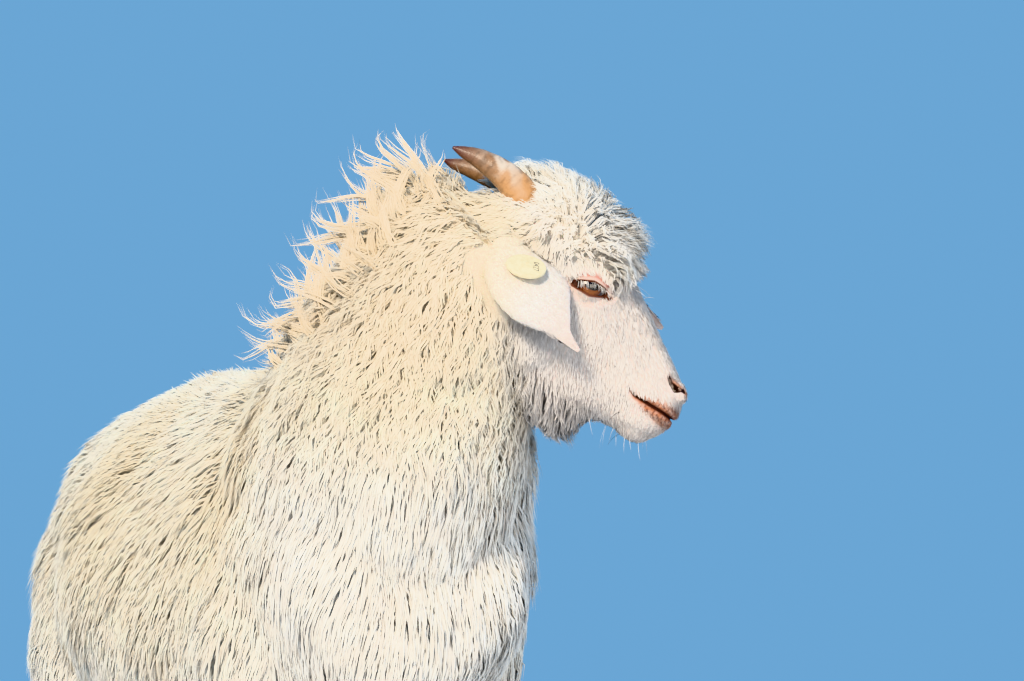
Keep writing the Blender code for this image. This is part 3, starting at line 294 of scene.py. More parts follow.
# How each zone of the coat grows: tufts and locks per square metre, length, height over the skin, width,
# how far a lock draws together, its sway and its looseness
ZONES = {
    "flank": (126e3, 36.0e3, 0.032, 0.0135, 0.0020, 0.14, 0.04, 0.05),
    "back": (128e3, 36.0e3, 0.029, 0.0135, 0.0020, 0.16, 0.05, 0.07),
    "chest": (155e3, 42.0e3, 0.032, 0.0125, 0.0017, 0.12, 0.03, 0.04),
    "belly": (66e3, 9.0e3, 0.045, 0.0160, 0.0018, 0.40, 0.06, 0.10),
    "neck": (340e3, 70e3, 0.0180, 0.0105, 0.0014, 0.14, 0.12, 0.12),
    "nape": (330e3, 40.0e3, 0.022, 0.0115, 0.0014, 0.22, 0.16, 0.16),
    "tail": (150e3, 12.0e3, 0.050, 0.0110, 0.0016, 0.50, 0.08, 0.10),
    "thigh": (105e3, 12.0e3, 0.030, 0.0105, 0.0016, 0.36, 0.06, 0.09),
    "shank": (110e3, 30.0e3, 0.011, 0.0016, 0.0016, 0.30, 0.04, 0.15),
    "cheek": (340e3, 40.0e3, 0.0140, 0.0028, 0.0009, 0.32, 0.05, 0.07),
    "throat": (320e3, 44.0e3, 0.0150, 0.0155, 0.0012, 0.26, 0.08, 0.12),
    "face": (540e3, 90.0e3, 0.0075, 0.0014, 0.0008, 0.25, 0.05, 0.10),
    "muzzle": (620e3, 99.0e3, 0.0044, 0.0008, 0.0007, 0.25, 0.03, 0.12),
    "topknot": (560e3, 80.0e3, 0.0135, 0.0255, 0.0013, 0.22, 0.08, 0.08),
    "poll": (400e3, 34.0e3, 0.016, 0.0050, 0.0010, 0.36, 0.08, 0.10),
    "ear": (270e3, 60.0e3, 0.0046, 0.0007, 0.0007, 0.20, 0.02, 0.08),
}
DENSITY, GATHER, LENGTH, RISE, WIDTH, DRAW, SWAY, LOOSE = range(8)  # the columns of those rows
SEED = 11
GUIDE_STEPS = 6
PATCH = 0.003  # size of a tuft's patch on its map
DEPTH_SHARE = {3: 0.90}  # of the depth found in the solids, for the topknot's tufts of 3 segments
SHALLOWEST = 0.65  # share of its zone's height that the coat has between the locks of the solids
SOFTNESS = 0.90  # how far a tuft is shaded as the body under it, rather than as a hard strand
TAPER = ((0, 0.35, 0.7, 1), (0.75, 1, 0.66, 0))  # a tuft's width, by shares of its length
FLATNESS = 0.20  # a tuft's thickness as a share of its width
WISPS, STRANDS, MANE_STEPS = 210, 12, 7  # of the mane
LASHES = 46  # on each eye
MOST_TUFTS = {2: 19900, 3: 12400, 4: 9000, 7: 5000}  # in one piece, by the tufts' segments

# Colours of the coat and skin
CREAM = (0.90, 0.79, 0.60)
STRAW = (0.82, 0.67, 0.44)
THROAT_CREAM = (0.82, 0.68, 0.50)
LEG_CREAM = (0.78, 0.70, 0.58)
PASTERN_TAN = (0.55, 0.44, 0.33)
WHITE = (0.91, 0.86, 0.79)
FACE_WHITE = (0.68, 0.65, 0.63)
SKIN_PINK = (0.70, 0.52, 0.46)
RUST = (0.33, 0.13, 0.065)
UMBER = (0.10, 0.035, 0.022)
MANE_TIP = (0.50, 0.36, 0.28)
FLECK = (0.30, 0.18, 0.11)
CLAW = (0.16, 0.12, 0.09)
CREASE_SHADE = (0.36, 0.29, 0.27)
LID_RED = (0.46, 0.20, 0.17)
NOSTRIL_SHADE = (0.012, 0.004, 0.004)
LIP_EDGE = (0.16, 0.055, 0.035)
MOUTH_SHADE = (0.030, 0.009, 0.008)
LASH = (0.86, 0.82, 0.78)
HORN_BASE, HORN_MIDDLE, HORN_TIP = (0.40, 0.22, 0.10), (0.19, 0.11, 0.062), (0.060, 0.018, 0.016)
HORN_PALE_TOP = (0.52, 0.46, 0.40)
HOOF_WALL, HOOF_PALE = (0.20, 0.15, 0.11), (0.42, 0.34, 0.25)
TAG_PLAIN, TAG_SCUFFED, TAG_YELLOW = (0.86, 0.80, 0.55, 1), (0.66, 0.58, 0.36, 1), (0.78, 0.72, 0.50, 1)
INK = (0.05, 0.045, 0.05, 1)
PUPIL = (0.004, 0.003, 0.003, 1)
IRIS = [
    (0.00, (0.07, 0.025, 0.007)),
    (0.42, (0.17, 0.052, 0.010)),
    (0.70, (0.08, 0.022, 0.006)),
    (0.86, (0.02, 0.007, 0.005)),
    (1.00, (0.06, 0.030, 0.025)),
]
FLOOR = (0.60, 0.60, 0.60, 1)
SKY, SKY_STRENGTH, EXPOSURE = (0.22, 0.50, 0.84, 1), 0.68, 0.30
# The lights: the way to each from the goat, how far, its size, power and colour
LIGHTS = [
    ("key", -RIGHT * 0.26 - AWAY * 0.84 + Vector((0, 0, 0.44)), 9.0, 2.0, 1240, (1.0, 0.86, 0.68)),
    ("fill", RIGHT * 0.45 - AWAY * 0.89 + Vector((0, 0, -0.01)), 6.0, 3.0, 160, (1.0, 0.86, 0.70)),
    ("back", -RIGHT * 0.3 + AWAY * 0.9 + Vector((0, 0, 0.7)), 4.0, 2.0, 30, (1.0, 0.97, 0.92)),
]


# Small helpers
def to_head(points):
    """Places in the head's own frame, for an array of points."""
    turn = np.array(HEAD_MATRIX.to_3x3())
    return (np.asarray(points, float) - np.array(HEAD_ORIGIN)) @ turn


def step(values, low, high):
    """0 below low and 1 above high, smooth between. low may be the greater."""
    t = np.clip((np.asarray(values, float) - low) / (high - low), 0, 1)
    return t * t * (3 - 2 * t)


def ripple(points, scale, seed=0):
    """A smooth pattern between -1 and 1 in space, whose features are about that far apart."""
    p = np.asarray(points, float) * (2 * math.pi / scale)
    rng = np.random.default_rng(900 + seed)
    total = np.zeros(p.shape[:-1])
    for _ in range(5):
        way = rng.normal(size=3)
        way /= np.linalg.norm(way) * rng.uniform(0.7, 1.5)
        total += np.sin(p @ way + rng.uniform(0, 6.3))
    return np.clip(total / 2.6, -1, 1)


def unit(vectors):
    return vectors / np.maximum(np.linalg.norm(vectors, axis=-1, keepdims=True), 1e-12)


def spline(a, b, c, d, t):
    """A place between b and c on a Catmull-Rom curve through four knots."""
    curve = 2 * b + (c - a) * t + (2 * a - 5 * b + 4 * c - d) * t**2 + (3 * b - a - 3 * c + d) * t**3
    return 0.5 * curve


def smooth_rows(rows, steps):
    """Rows of numbers with more rows between them, on a smooth curve through them."""
    rows = np.array(rows, float)
    padded = np.vstack([2 * rows[0] - rows[1], rows, 2 * rows[-1] - rows[-2]])
    made = [spline(*padded[i : i + 4], t) for i in range(len(rows) - 1) for t in np.arange(steps) / steps]
    return np.array(made + [rows[-1]])


def hump(values, middle, width):
    """1 at the middle, falling off smoothly to each side."""
    return np.exp(-((values - middle) / width) ** 2)


def distance(points, place):
    return np.linalg.norm(points - np.array(place), axis=1)


def one_side(points):
    """Places folded to one side of the middle plane."""
    return np.stack([points[:, 0], np.abs(points[:, 1]), points[:, 2]], axis=1)


def line_distance(points, line):
    """Each point's distance from a polyline, and how far along it the nearest place is, from 0 to 1."""
    best = np.full(len(points), 1e9)
    along = np.zeros(len(points))
    count = len(line) - 1
    for i in range(count):
        a, b = np.array(line[i]), np.array(line[i + 1])
        t = np.clip((points - a) @ (b - a) / ((b - a) @ (b - a)), 0, 1)
        far = np.linalg.norm(points - (a + t[:, None] * (b - a)), axis=1)
        closer = far < best
        best[closer] = far[closer]
        along[closer] = (i + t[closer]) / count
    return best, along


# Mesh building
def placed(name, data):
    """A new object of the scene."""
    obj = bpy.data.objects.new(name, data)
    bpy.context.scene.collection.objects.link(obj)
    return obj


def mesh_object(name, points, faces):
    mesh = bpy.data.meshes.new(name)
    mesh.from_pydata([tuple(p) for p in points], [], [tuple(f) for f in faces])
    mesh.update()
    return placed(name, mesh)


def coordinates(obj):
    co = np.zeros(len(obj.data.vertices) * 3)
    obj.data.vertices.foreach_get("co", co)
    return co.reshape(-1, 3)


def set_coordinates(obj, points):
    obj.data.vertices.foreach_set("co", np.asarray(points, np.float32).ravel())
    obj.data.update()


def changed(obj, change):
    """Changes an object's mesh by a function of its bmesh."""
    work = bmesh.new()
    work.from_mesh(obj.data)
    change(work)
    work.to_mesh(obj.data)
    work.free()
    return obj


def faces_out(obj):
    return changed(obj, lambda work: bmesh.ops.recalc_face_normals(work, faces=work.faces))


def triangulated(obj):
    return changed(obj, lambda work: bmesh.ops.triangulate(work, faces=work.faces))


def shade_smooth(obj):
    obj.data.polygons.foreach_set("use_smooth", [True] * len(obj.data.polygons))
    obj.data.update()
    return obj


def skin_rings(rings):
    """A closed mesh over rings of equal point counts, with a fan at each end."""
    count, sides = len(rings), len(rings[0])
    points = [p for ring in rings for p in ring]
    faces = []
    for i in range(count - 1):
        for j in range(sides):
            k = (j + 1) % sides
            faces.append((i * sides + j, i * sides + k, (i + 1) * sides + k, (i + 1) * sides + j))
    for ring, first, flip in ((rings[0], 0, True), (rings[-1], (count - 1) * sides, False)):
        points.append(sum((Vector(p) for p in ring), Vector()) / sides)
        hub = len(points) - 1
        for j in range(sides):
            a, b = first + j, first + (j + 1) % sides
            faces.append((b, a, hub) if flip else (a, b, hub))
    return points, faces


def limb(name, stations, sides=24, steps=5, lateral=(0, 1, 0), shape=None):
    """A loft along stations of (x, y, z, half width, half height above, half height below)."""
    rows = smooth_rows(stations, steps)
    rings = []
    last_up = Vector((-0.1, 0, 1))
    for i, row in enumerate(rows):
        ahead = Vector(rows[min(i + 1, len(rows) - 1), :3] - rows[max(i - 1, 0), :3]).normalized()
        side = Vector(lateral)
        side = (side - ahead * side.dot(ahead)).normalized()
        up = ahead.cross(side)
        if up.dot(last_up) < 0:
            up = -up
        last_up = up
        wide, above, below = (max(v, 0.0006) for v in row[3:6])
        ring = []
        for j in range(sides):
            turn = 2 * math.pi * j / sides
            rise = above if math.sin(turn) > 0 else below
            swell = shape(i / (len(rows) - 1), turn) if shape else 1
            out = side * wide * math.cos(turn) + up * rise * math.sin(turn)
            ring.append(Vector(row[:3]) + out * swell)
        rings.append(ring)
    return faces_out(mesh_object(name, *skin_rings(rings)))


def ellipsoid(name, centre, radii, turn=0.0, segments=24, rings=14):
    """An ellipsoid with its axes along X, Y and Z, then turned about Y."""
    work = bmesh.new()
    bmesh.ops.create_uvsphere(work, u_segments=segments, v_segments=rings, radius=1)
    matrix = Matrix.Translation(centre) @ Matrix.Rotation(turn, 4, "Y") @ Matrix.Diagonal((*radii, 1))
    bmesh.ops.transform(work, matrix=matrix, verts=work.verts)
    mesh = bpy.data.meshes.new(name)
    work.to_mesh(mesh)
    work.free()
    return placed(name, mesh)


def apply_modifiers(obj):
    graph = bpy.context.evaluated_depsgraph_get()
    mesh = bpy.data.meshes.new_from_object(obj.evaluated_get(graph))
    obj.modifiers.clear()
    obj.data = mesh
    return obj


def fuse(name, objects, voxel, smoothing):
    """The shapes fused into one soft skin."""
    work = bmesh.new()
    for obj in objects:
        work.from_mesh(obj.data)
        bpy.data.objects.remove(obj)
    mesh = bpy.data.meshes.new(name)
    work.to_mesh(mesh)
    work.free()
    obj = placed(name, mesh)
    remesh = obj.modifiers.new("fuse", "REMESH")
    remesh.mode = "VOXEL"
    remesh.voxel_size = voxel
    soften = obj.modifiers.new("soften", "SMOOTH")
    soften.factor = 0.5
    soften.iterations = smoothing
    return apply_modifiers(obj)


def unite(obj, other):
    """Joins other to obj as one closed surface, and removes other."""
    modifier = obj.modifiers.new("unite", "BOOLEAN")
    modifier.operation = "UNION"
    modifier.solver = "MANIFOLD"
    modifier.object = other
    apply_modifiers(obj)
    bpy.data.objects.remove(other)
    return obj


# The head's skin
def skull_ring(row, sides=48):
    """One section of the head, a closed smooth curve through eight points."""
    x, top, brow_w, brow_z, mid_w, mid_z, jaw_w, jaw_z, bottom = row
    half = [(brow_w, brow_z), (mid_w, mid_z), (jaw_w, jaw_z)]
    knots = np.array([(0, top), *half, (0, bottom), *[(-w, z) for w, z in reversed(half)]])
    ring = []
    for j in range(sides):
        place = j * len(knots) / sides
        i, t = int(place), place - int(place)
        y, z = spline(*(knots[(i + n) % len(knots)] for n in (-1, 0, 1, 2)), t)
        ring.append(Vector((x, y, z)))
    return ring


def eye_matrix(side):
    """The eye's own frame, looking along +Z, its +X towards the muzzle."""
    look = Vector((EYE_LOOK.x, side * EYE_LOOK.y, EYE_LOOK.z)).normalized()
    along = (EYE_ALONG - look * EYE_ALONG.dot(look)).normalized()
    matrix = Matrix((along, look.cross(along), look)).transposed().to_4x4()
    matrix.translation = Vector((EYE_AT.x, side * EYE_AT.y, EYE_AT.z))
    return matrix


def face_up(side):
    """1 where +Y in an eye's frame points up the face, and otherwise -1."""
    return math.copysign(1, (eye_matrix(side).to_3x3() @ Vector((0, 1, 0))).z)


def in_eye(points, side):
    """Places in an eye's own frame with +Y up the face, for an array of points in the head's frame."""
    matrix = eye_matrix(side)
    local = (points - np.array(matrix.translation)) @ np.array(matrix.to_3x3())
    local[:, 1] *= face_up(side)
    return local


def lid_gap(local):
    """How far outside the opening between the lids a place in the eye's frame is, less than 0 within it."""
    x, y = local[:, 0], local[:, 1] + LID_DROOP
    turn = np.arctan2(y / LID_HEIGHT, x / LID_LENGTH)
    edge_x = LID_LENGTH / 2 * np.cos(turn)
    edge_y = LID_HEIGHT / 2 * np.sin(turn) * (1 - 0.45 * np.abs(np.cos(turn)))
    return np.hypot(x, y) - np.hypot(edge_x, edge_y)


def refine(obj, near):
    """Halves the edges whose two ends are both near, by a mask over the vertices."""
    def halve(work):
        work.verts.ensure_lookup_table()
        edges = [e for e in work.edges if near[e.verts[0].index] and near[e.verts[1].index]]
        bmesh.ops.subdivide_edges(work, edges=edges, cuts=1, use_grid_fill=True, smooth=1.0)
        bmesh.ops.triangulate(work, faces=[f for f in work.faces if len(f.verts) > 4])

    return changed(obj, halve)


def face_features(points):
    """Distances that the face's forms and colours are made from, for places in the head's frame."""
    right = points[:, 1] < 0
    eyes = np.where(right[:, None], in_eye(points, -1), in_eye(points, 1))
    at_eye = (eyes[:, 2] > 0) & (eyes[:, 2] < EYE_R + EYE_REACH)
    nostril, nostril_along = line_distance(one_side(points), NOSTRIL_LINE)
    mouth, _ = line_distance(points * (1, 0, 1), MOUTH_LINE)
    return {
        "eye": eyes,
        "lid": np.where(at_eye, lid_gap(eyes), 1.0),
        "nostril": nostril,
        "nostril_along": nostril_along,
        "mouth": mouth,
        "over_nostril": points[:, 2] - np.interp(points[:, 0], *np.array(NOSTRIL_LINE).T[[0, 2]]),
    }


def shape_lids(points):
    """Moves the skin round the eyes onto the eyeballs, with a rim, a crease above and a fold below."""
    for side in (1, -1):
        local = in_eye(points, side)
        near = (np.hypot(local[:, 0], local[:, 1]) < 0.024) & (local[:, 2] > 0)
        place = local[near]
        gap = lid_gap(place)
        flat = np.hypot(place[:, 0], place[:, 1])
        ball = np.sqrt(np.maximum(EYE_R**2 - np.minimum(flat, 0.95 * EYE_R) ** 2, 0))
        upper = step(place[:, 1], -0.001, 0.003)
        rim = 0.0004 + 0.0013 * step(gap, 0.0, 0.0013) - 0.0006 * step(gap, 0.0016, 0.0040)
        lid = ball + rim + 0.0011 * upper * step(gap, 0.0, 0.0020)
        inside = ball - 0.0035 * step(-gap, 0.0, 0.0012)
        target = np.where(gap < 0, inside, lid)
        hold = 1 - step(gap, 0.0022, 0.0075)
        place[:, 2] += (target - place[:, 2]) * hold
        crease = hump(gap, 0.0058, 0.0011) * upper
        fold = hump(gap, 0.0062, 0.0016) * (1 - upper)
        bag = hump(gap, 0.0098, 0.0022)
        place[:, 2] += -0.0013 * crease - 0.0008 * fold + 0.0009 * bag
        matrix = eye_matrix(side)
        place[:, 1] *= face_up(side)
        points[near] = place @ np.array(matrix.to_3x3()).T + np.array(matrix.translation)
    return points


def shape_muzzle(points, normals):
    """Sinks the nostrils and the line of the mouth, and raises their rims and the lips."""
    found = face_features(points)
    wide = 0.0011 + 0.0017 * step(found["nostril_along"], 0.20, 0.75)
    hole = 1 - step(found["nostril"], 0.70 * wide, 1.30 * wide)
    wing = hump(found["nostril"], 2.0 * wide, 0.0013)
    slit = 1 - step(found["mouth"], 0.0004, 0.0016)
    lip = hump(found["mouth"], 0.0038, 0.0018)
    moved = -0.0080 * hole + 0.0009 * wing - 0.0028 * slit + 0.0009 * lip
    groove = hump(points[:, 1], 0, 0.0011) * step(points[:, 0], 0.170, 0.178)
    groove *= step(points[:, 2], -0.0125, -0.010) * (1 - step(points[:, 2], 0.000, 0.004))
    moved -= 0.0012 * groove
    return points + normals * moved[:, None]


def wrinkles(folded):
    """From 0 to 1, the fine folds that cross the side of the nose, for places folded to one side."""
    x, y, z = folded.T
    across = (x + 0.55 * z + 0.0012 * ripple(folded, 0.02, 14)) / 0.0062
    where = step(x, 0.096, 0.106) * step(x, 0.142, 0.130) * step(z, 0.000, 0.010) * step(y, 0.006, 0.014)
    under_eye = (z - 0.35 * x + 0.0010 * ripple(folded, 0.02, 15)) / 0.0058
    below = step(x, 0.048, 0.060) * step(x, 0.094, 0.080) * step(z, 0.004, -0.002) * step(z, -0.026, -0.014)
    lines = hump(across, np.round(across), 0.14) * where
    return lines + 0.6 * hump(under_eye, np.round(under_eye), 0.16) * below


def shape_cheeks(points, normals):
    """Hollows and folds of the face that the sections don't hold."""
    folded = one_side(points)
    forms = [
        ((0.100, 0.036, 0.012), 0.014, -0.0016),  # before the eye
        ((0.118, 0.030, -0.020), 0.016, -0.0014),  # behind the muzzle
        ((0.132, 0.026, -0.024), 0.007, 0.0012),  # at the corner of the mouth
        ((0.140, 0.022, 0.006), 0.012, -0.0010),  # beside the nose
        ((0.150, 0.023, -0.008), 0.010, 0.0014),  # the upper lip's pad
        ((0.060, 0.044, -0.016), 0.015, 0.0012),  # the cheek bone
        ((0.158, 0.018, -0.036), 0.010, 0.0010),  # the chin's side
    ]
    moved = -0.0007 * wrinkles(folded)
    for place, size, height in forms:
        moved += height * hump(distance(folded, place), 0, size)
    return points + normals * moved[:, None]


def vertex_normals(obj):
    normals = np.zeros(len(obj.data.vertices) * 3)
    obj.data.vertices.foreach_get("normal", normals)
    return normals.reshape(-1, 3)


def make_head():
    """The head's skin in the head's frame."""
    rings = [skull_ring(row) for row in smooth_rows(SKULL, 6)]
    parts = [faces_out(mesh_object("skull", *skin_rings(rings)))]
    for side in (1, -1):
        parts.append(ellipsoid("orbit", (0.064, side * 0.036, 0.021), (0.024, 0.0165, 0.020)))
        parts.append(ellipsoid("cheek", (0.050, side * 0.030, -0.030), (0.036, 0.017, 0.030)))
        parts.append(ellipsoid("nostril_wing", (0.1665, side * 0.0120, 0.002), (0.0105, 0.0075, 0.0075)))
    parts.append(ellipsoid("topknot", (0.024, 0, 0.040), (0.046, 0.034, 0.022)))
    parts.append(ellipsoid("chin", (0.158, 0, -0.0365), (0.016, 0.015, 0.0105)))
    parts.append(ellipsoid("upper_lip", (0.1665, 0, -0.0075), (0.0125, 0.0185, 0.009)))
    head = fuse("head", parts, HEAD_VOXEL, 8)
    for reach in (0.0105, 0.0045):
        points = coordinates(head)
        found = face_features(points)
        near = (np.abs(found["lid"]) < reach) | (found["nostril"] < 0.7 * reach)
        refine(head, near | (found["mouth"] < 0.5 * reach))
    points = shape_cheeks(coordinates(head), vertex_normals(head))
    set_coordinates(head, points)
    set_coordinates(head, shape_muzzle(points, vertex_normals(head)))
    set_coordinates(head, shape_lids(coordinates(head)))
    triangulated(head).data.transform(HEAD_MATRIX)
    return head


def ear_frames(stations, side, steps):
    """Along an ear: its path's point, the outward and the upward directions, half widths and cup depth."""
    rows = smooth_rows(stations, steps)
    made = []
    for i, row in enumerate(rows):
        ahead = Vector(rows[min(i + 1, len(rows) - 1), :3] - rows[max(i - 1, 0), :3]).normalized()
        outward = Vector((0, side, 0))
        outward = (outward - ahead * outward.dot(ahead)).normalized()
        outward = Matrix.Rotation(row[6] * side, 3, ahead) @ outward
        made.append((Vector(row[:3]), outward, outward.cross(ahead) * -side, row[3], row[4], row[5]))
    return made


def make_ear(name, stations, side):
    """An ear as a cupped leaf with a rolled rim, hollow towards the head, its root sunk in the skull."""
    across = 22
    rings = []
    frames = ear_frames(stations, side, 9)
    for i, (point, outward, wide, above, below, cup) in enumerate(frames):
        share = i / (len(frames) - 1)
        swell = math.sin(math.pi * share)
        outer, inner = [], []
        for j in range(across + 1):
            s = 2 * j / across - 1
            half_width = above if s > 0 else below
            roll = cup * (1 - math.cos(s * 1.35)) + 0.0016 * step(abs(s), 0.75, 1.0) * swell
            vein = 0.0004 * math.sin(5.0 * s + 2.0 * share) * (1 - abs(s)) * swell
            place = point + wide * half_width * math.sin(s * math.pi / 2) - outward * (roll + vein)
            rim = EAR_THICK * (1 - 0.45 * share) * (0.62 + 0.38 * math.sqrt(max(1 - 0.8 * s * s, 0)))
            lean = (outward + wide * 0.9 * s * cup / max(half_width, 0.004)).normalized()
            outer.append(place + lean * rim / 2)
            inner.append(place - lean * rim / 2)
        rings.append(outer + inner[::-1])
    points, faces = skin_rings(rings)
    points, faces = points[:-2], faces[: -2 * len(rings[0])]
    turn, last = len(rings[0]) - 1, (len(rings) - 1) * len(rings[0])
    for j in range(across):
        faces.append((j, j + 1, turn - j - 1, turn - j))
        faces.append((last + turn - j, last + turn - j - 1, last + j + 1, last + j))
    ear = faces_out(triangulated(mesh_object(name, points, faces)))
    ear.data.transform(HEAD_MATRIX)
    return ear


# The body's skin
def grown(stations, depths):
    """Sections widened by the share of the coat's depth that the skin takes."""
    return [(*s[:3], *(v + SKIN_SHARE * d for v in s[3:])) for s, d in zip(stations, depths)]


def placed_leg(stations, x, y, side):
    return [(x + s[0], side * (y + s[1]), *s[2:]) for s in stations]


def make_body():
    """Torso, neck, legs and tail as one soft skin under the coat."""
    torso_coat = [COAT_SIDE * d for d in (0.9, 0.9, 0.9, 0.95, 1.0, 1.0, 1.0, 0.95, 0.9, 0.9, 0.8)]
    parts = [
        limb("torso", grown(TORSO, torso_coat), sides=36),
        limb("neck", grown(NECK, [COAT_NECK] * len(NECK)), sides=30),
        limb("tail", TAIL),
    ]
    for side in (1, -1):
        parts.append(limb("fore", placed_leg(FORE_LEG, FORE_X, FORE_Y, side)))
        parts.append(limb("hind", placed_leg(HIND_LEG, HIND_X, HIND_Y, side)))
        for x, y, z in DEWCLAWS:
            parts.append(ellipsoid("dewclaw", (x, side * y, z), (0.0070, 0.0070, 0.0090)))
    return fuse("body", parts, BODY_VOXEL, 5)


def make_skin(ears):
    """Body, head and ears as one closed surface of triangles."""
    skin = make_body()
    for other in (make_head(), *ears):
        unite(skin, other)
    triangulated(skin).name = "skin"
    skin.data.materials.clear()
    skin.data.polygons.foreach_set("material_index", [0] * len(skin.data.polygons))
    return skin


# How the coat grows
def mixed(values, name, share):
    """Rows of zone values moved towards a named zone by a share for each point."""
    return values + (np.array(ZONES[name]) - values) * share[:, None]


def past_nape(points):
    """How far past the plane behind the ears each point is, towards the face."""
    return (points - np.array(HEAD_ORIGIN)) @ np.array(NAPE_PLANE)


def is_ear(points):
    """True where a point lies on an ear past its root, by its distance from the ear's middle line."""
    local = to_head(points)
    found = np.zeros(len(points), bool)
    for stations in (EAR_RIGHT, EAR_LEFT):
        line = [s[:3] for s in stations[1:]]
        far, along = line_distance(local, line)
        half = np.interp(along * (len(line) - 1), range(len(line)), [s[3] for s in stations[1:]])
        beyond = np.interp(local[:, 0], (-0.02, 0.0, 0.02, 0.12), (0.050, 0.0500, 0.0530, 0.0530))
        found |= (far < half + 0.008) & (np.abs(local[:, 1]) > beyond) & (along > 0.08)
    return found


def nape_share(points):
    """From 0 to 1, how far a point belongs to the ridge of the neck, where the mane stands."""
    rows = smooth_rows(NECK, 4)[:, :3]
    near = rows[np.argmin(((points[:, None] - rows[None]) ** 2).sum(-1), axis=1)]
    along = np.clip((points[:, 2] - 0.50) / 0.16, 0, 1)
    ridge = unit(np.stack([-0.70 + 0.25 * along, -0.30 - 0.50 * along, 0.62 - 0.12 * along], axis=1))
    out = points - near
    high = np.sum(out * ridge, axis=1)
    side = np.linalg.norm(out - ridge * high[:, None], axis=1)
    return step(high, 0.022, 0.046) * (1 - step(side, 0.036, 0.062)) * step(points[:, 2], 0.535, 0.580)


def coat_at(points):
    """The zone values at each point, blended from zone to zone."""
    x, y, z = points.T
    local = to_head(points)
    hx, hy, hz = local.T
    found = face_features(local)
    values = np.repeat(np.array(ZONES["flank"])[None], len(points), axis=0)
    leg = (np.abs(y) > 0.040) & ((x > 0.08) | (x < -0.13))
    head = step(past_nape(points), -0.022, 0.004)
    zones = [
        ("back", step(z, 0.46, 0.52) * (1 - step(x, 0.05, 0.15))),
        ("belly", step(z, 0.315, 0.275) * (np.abs(y) < 0.09)),
        ("chest", step(x, 0.16, 0.24) * step(z, 0.54, 0.48)),
        ("neck", step(0.75 * x + 0.66 * z, 0.47, 0.56) * step(z, 0.47, 0.53)),
        ("nape", nape_share(points)),
        ("thigh", step(z, 0.345, 0.285) * leg),
        ("shank", step(z, 0.262, 0.205) * leg),
        ("tail", step(x, -0.295, -0.315) * step(z, 0.43, 0.46)),
        ("cheek", head),
        ("face", head * step(hx, 0.030, 0.075)),
        ("muzzle", head * step(hx, 0.130, 0.165)),
        ("throat", head * step(hz, -0.046, -0.062) * step(hx, 0.140, 0.112)),
    ]
    for name, share in zones:
        values = mixed(values, name, share)
    fringe = head * step(hz, -0.044, -0.058) * hump(hx, 0.112, 0.026)
    values[:, RISE] += 0.012 * fringe
    knot = head * step(hz, 0.024, 0.040) * step(hx, 0.088, 0.074) * step(np.abs(hy), 0.048, 0.038)
    values = mixed(values, "topknot", knot)
    brow = knot * step(hx, 0.052, 0.074) * step(hz, 0.066, 0.050)
    values[:, RISE] *= 1 - 0.70 * brow
    poll = step(hx, 0.018, 0.006) * step(np.abs(hy), 0.009, 0.014) * step(hz, 0.020, 0.026)
    values = mixed(values, "poll", head * poll)
    folded = one_side(local)
    at_horn = head * step(distance(folded, np.array(HORN[1][:3]) - (0, 0, 0.006)), 0.027, 0.016)
    values[:, [LENGTH, RISE]] *= (1 - 0.60 * at_horn)[:, None]
    values = np.where(is_ear(points)[:, None], np.array(ZONES["ear"])[None], values)
    values[:, LENGTH] *= 1 - 0.45 * head * step(distance(folded, WHORL), 0.018, 0.004)
    near_eye = step(found["lid"], 0.016, 0.004)
    values[:, LENGTH] *= 1 - 0.55 * near_eye
    values[:, RISE] *= 1 - 0.6 * near_eye
    over_eye = (found["eye"][:, 1] > 0.0005) & (np.abs(found["eye"][:, 0] + 0.001) < 0.0125)
    lips = lip_share(found, local)
    values[:, LENGTH] *= 1 - 0.60 * lips
    bare = (found["lid"] < 0.0016) | (found["nostril"] < 0.0034) | (found["mouth"] < 0.0019)
    bare |= over_eye & (found["lid"] < 0.0066)
    for stations in (EAR_RIGHT, EAR_LEFT):
        bare |= distance(local, stations[-1][:3]) < 0.008
    bare |= (z < HOOF_Z + 0.002) | ((found["mouth"] < 0.0030) & (hx > 0.150))
    for dx, dy, dz in DEWCLAWS:
        bare |= distance(one_side(points), (dx, dy, dz - 0.003)) < 0.0085
    values[:, DENSITY] *= ~bare
    parted = step(distance(one_side(points), WITHERS), 0.060, 0.025)
    values[:, [DENSITY, GATHER]] *= (1 + 0.7 * parted)[:, None]
    finer = 1 + 0.22 * np.clip(-y / 0.05, -1, 1) * step(z, 0.28, 0.34) * (past_nape(points) < -0.02)
    values[:, DENSITY] *= finer
    values[:, WIDTH] /= finer
    return values


def mirrored(guides):
    """Guides of the lie and their mirror images."""
    return [((x, side * y, z), (a, side * b, c)) for (x, y, z), (a, b, c) in guides for side in (1, -1)]


def lie_guides():
    """All the guides of the lie, as places and ways."""
    turn = HEAD_MATRIX.to_3x3()
    made = LIE_MIDDLE + mirrored(LIE_SIDES)
    for place, way in LIE_HEAD + mirrored(LIE_HEAD_SIDES):
        made.append((tuple(HEAD_MATRIX @ Vector(place)), tuple(turn @ Vector(way))))
    return np.array([m[0] for m in made]), np.array([m[1] for m in made])


def whorl_lie(points, way):
    """The lie with the topknot's hair running away from the whorls on its two sides."""
    local = to_head(points)
    share = step(local[:, 2], 0.026, 0.040) * step(local[:, 0], 0.105, 0.085)
    share *= step(local[:, 0], -0.05, -0.03)
    share *= past_nape(points) > -0.03
    away = np.zeros_like(points)
    for side in (1, -1):
        off = local - np.array((WHORL[0], side * WHORL[1], WHORL[2]))
        away += off / (np.sum(off**2, axis=1, keepdims=True) + 1e-5)
    away = unit(away) @ np.array(HEAD_MATRIX.to_3x3()).T
    return way * (1 - share)[:, None] + away * share[:, None]


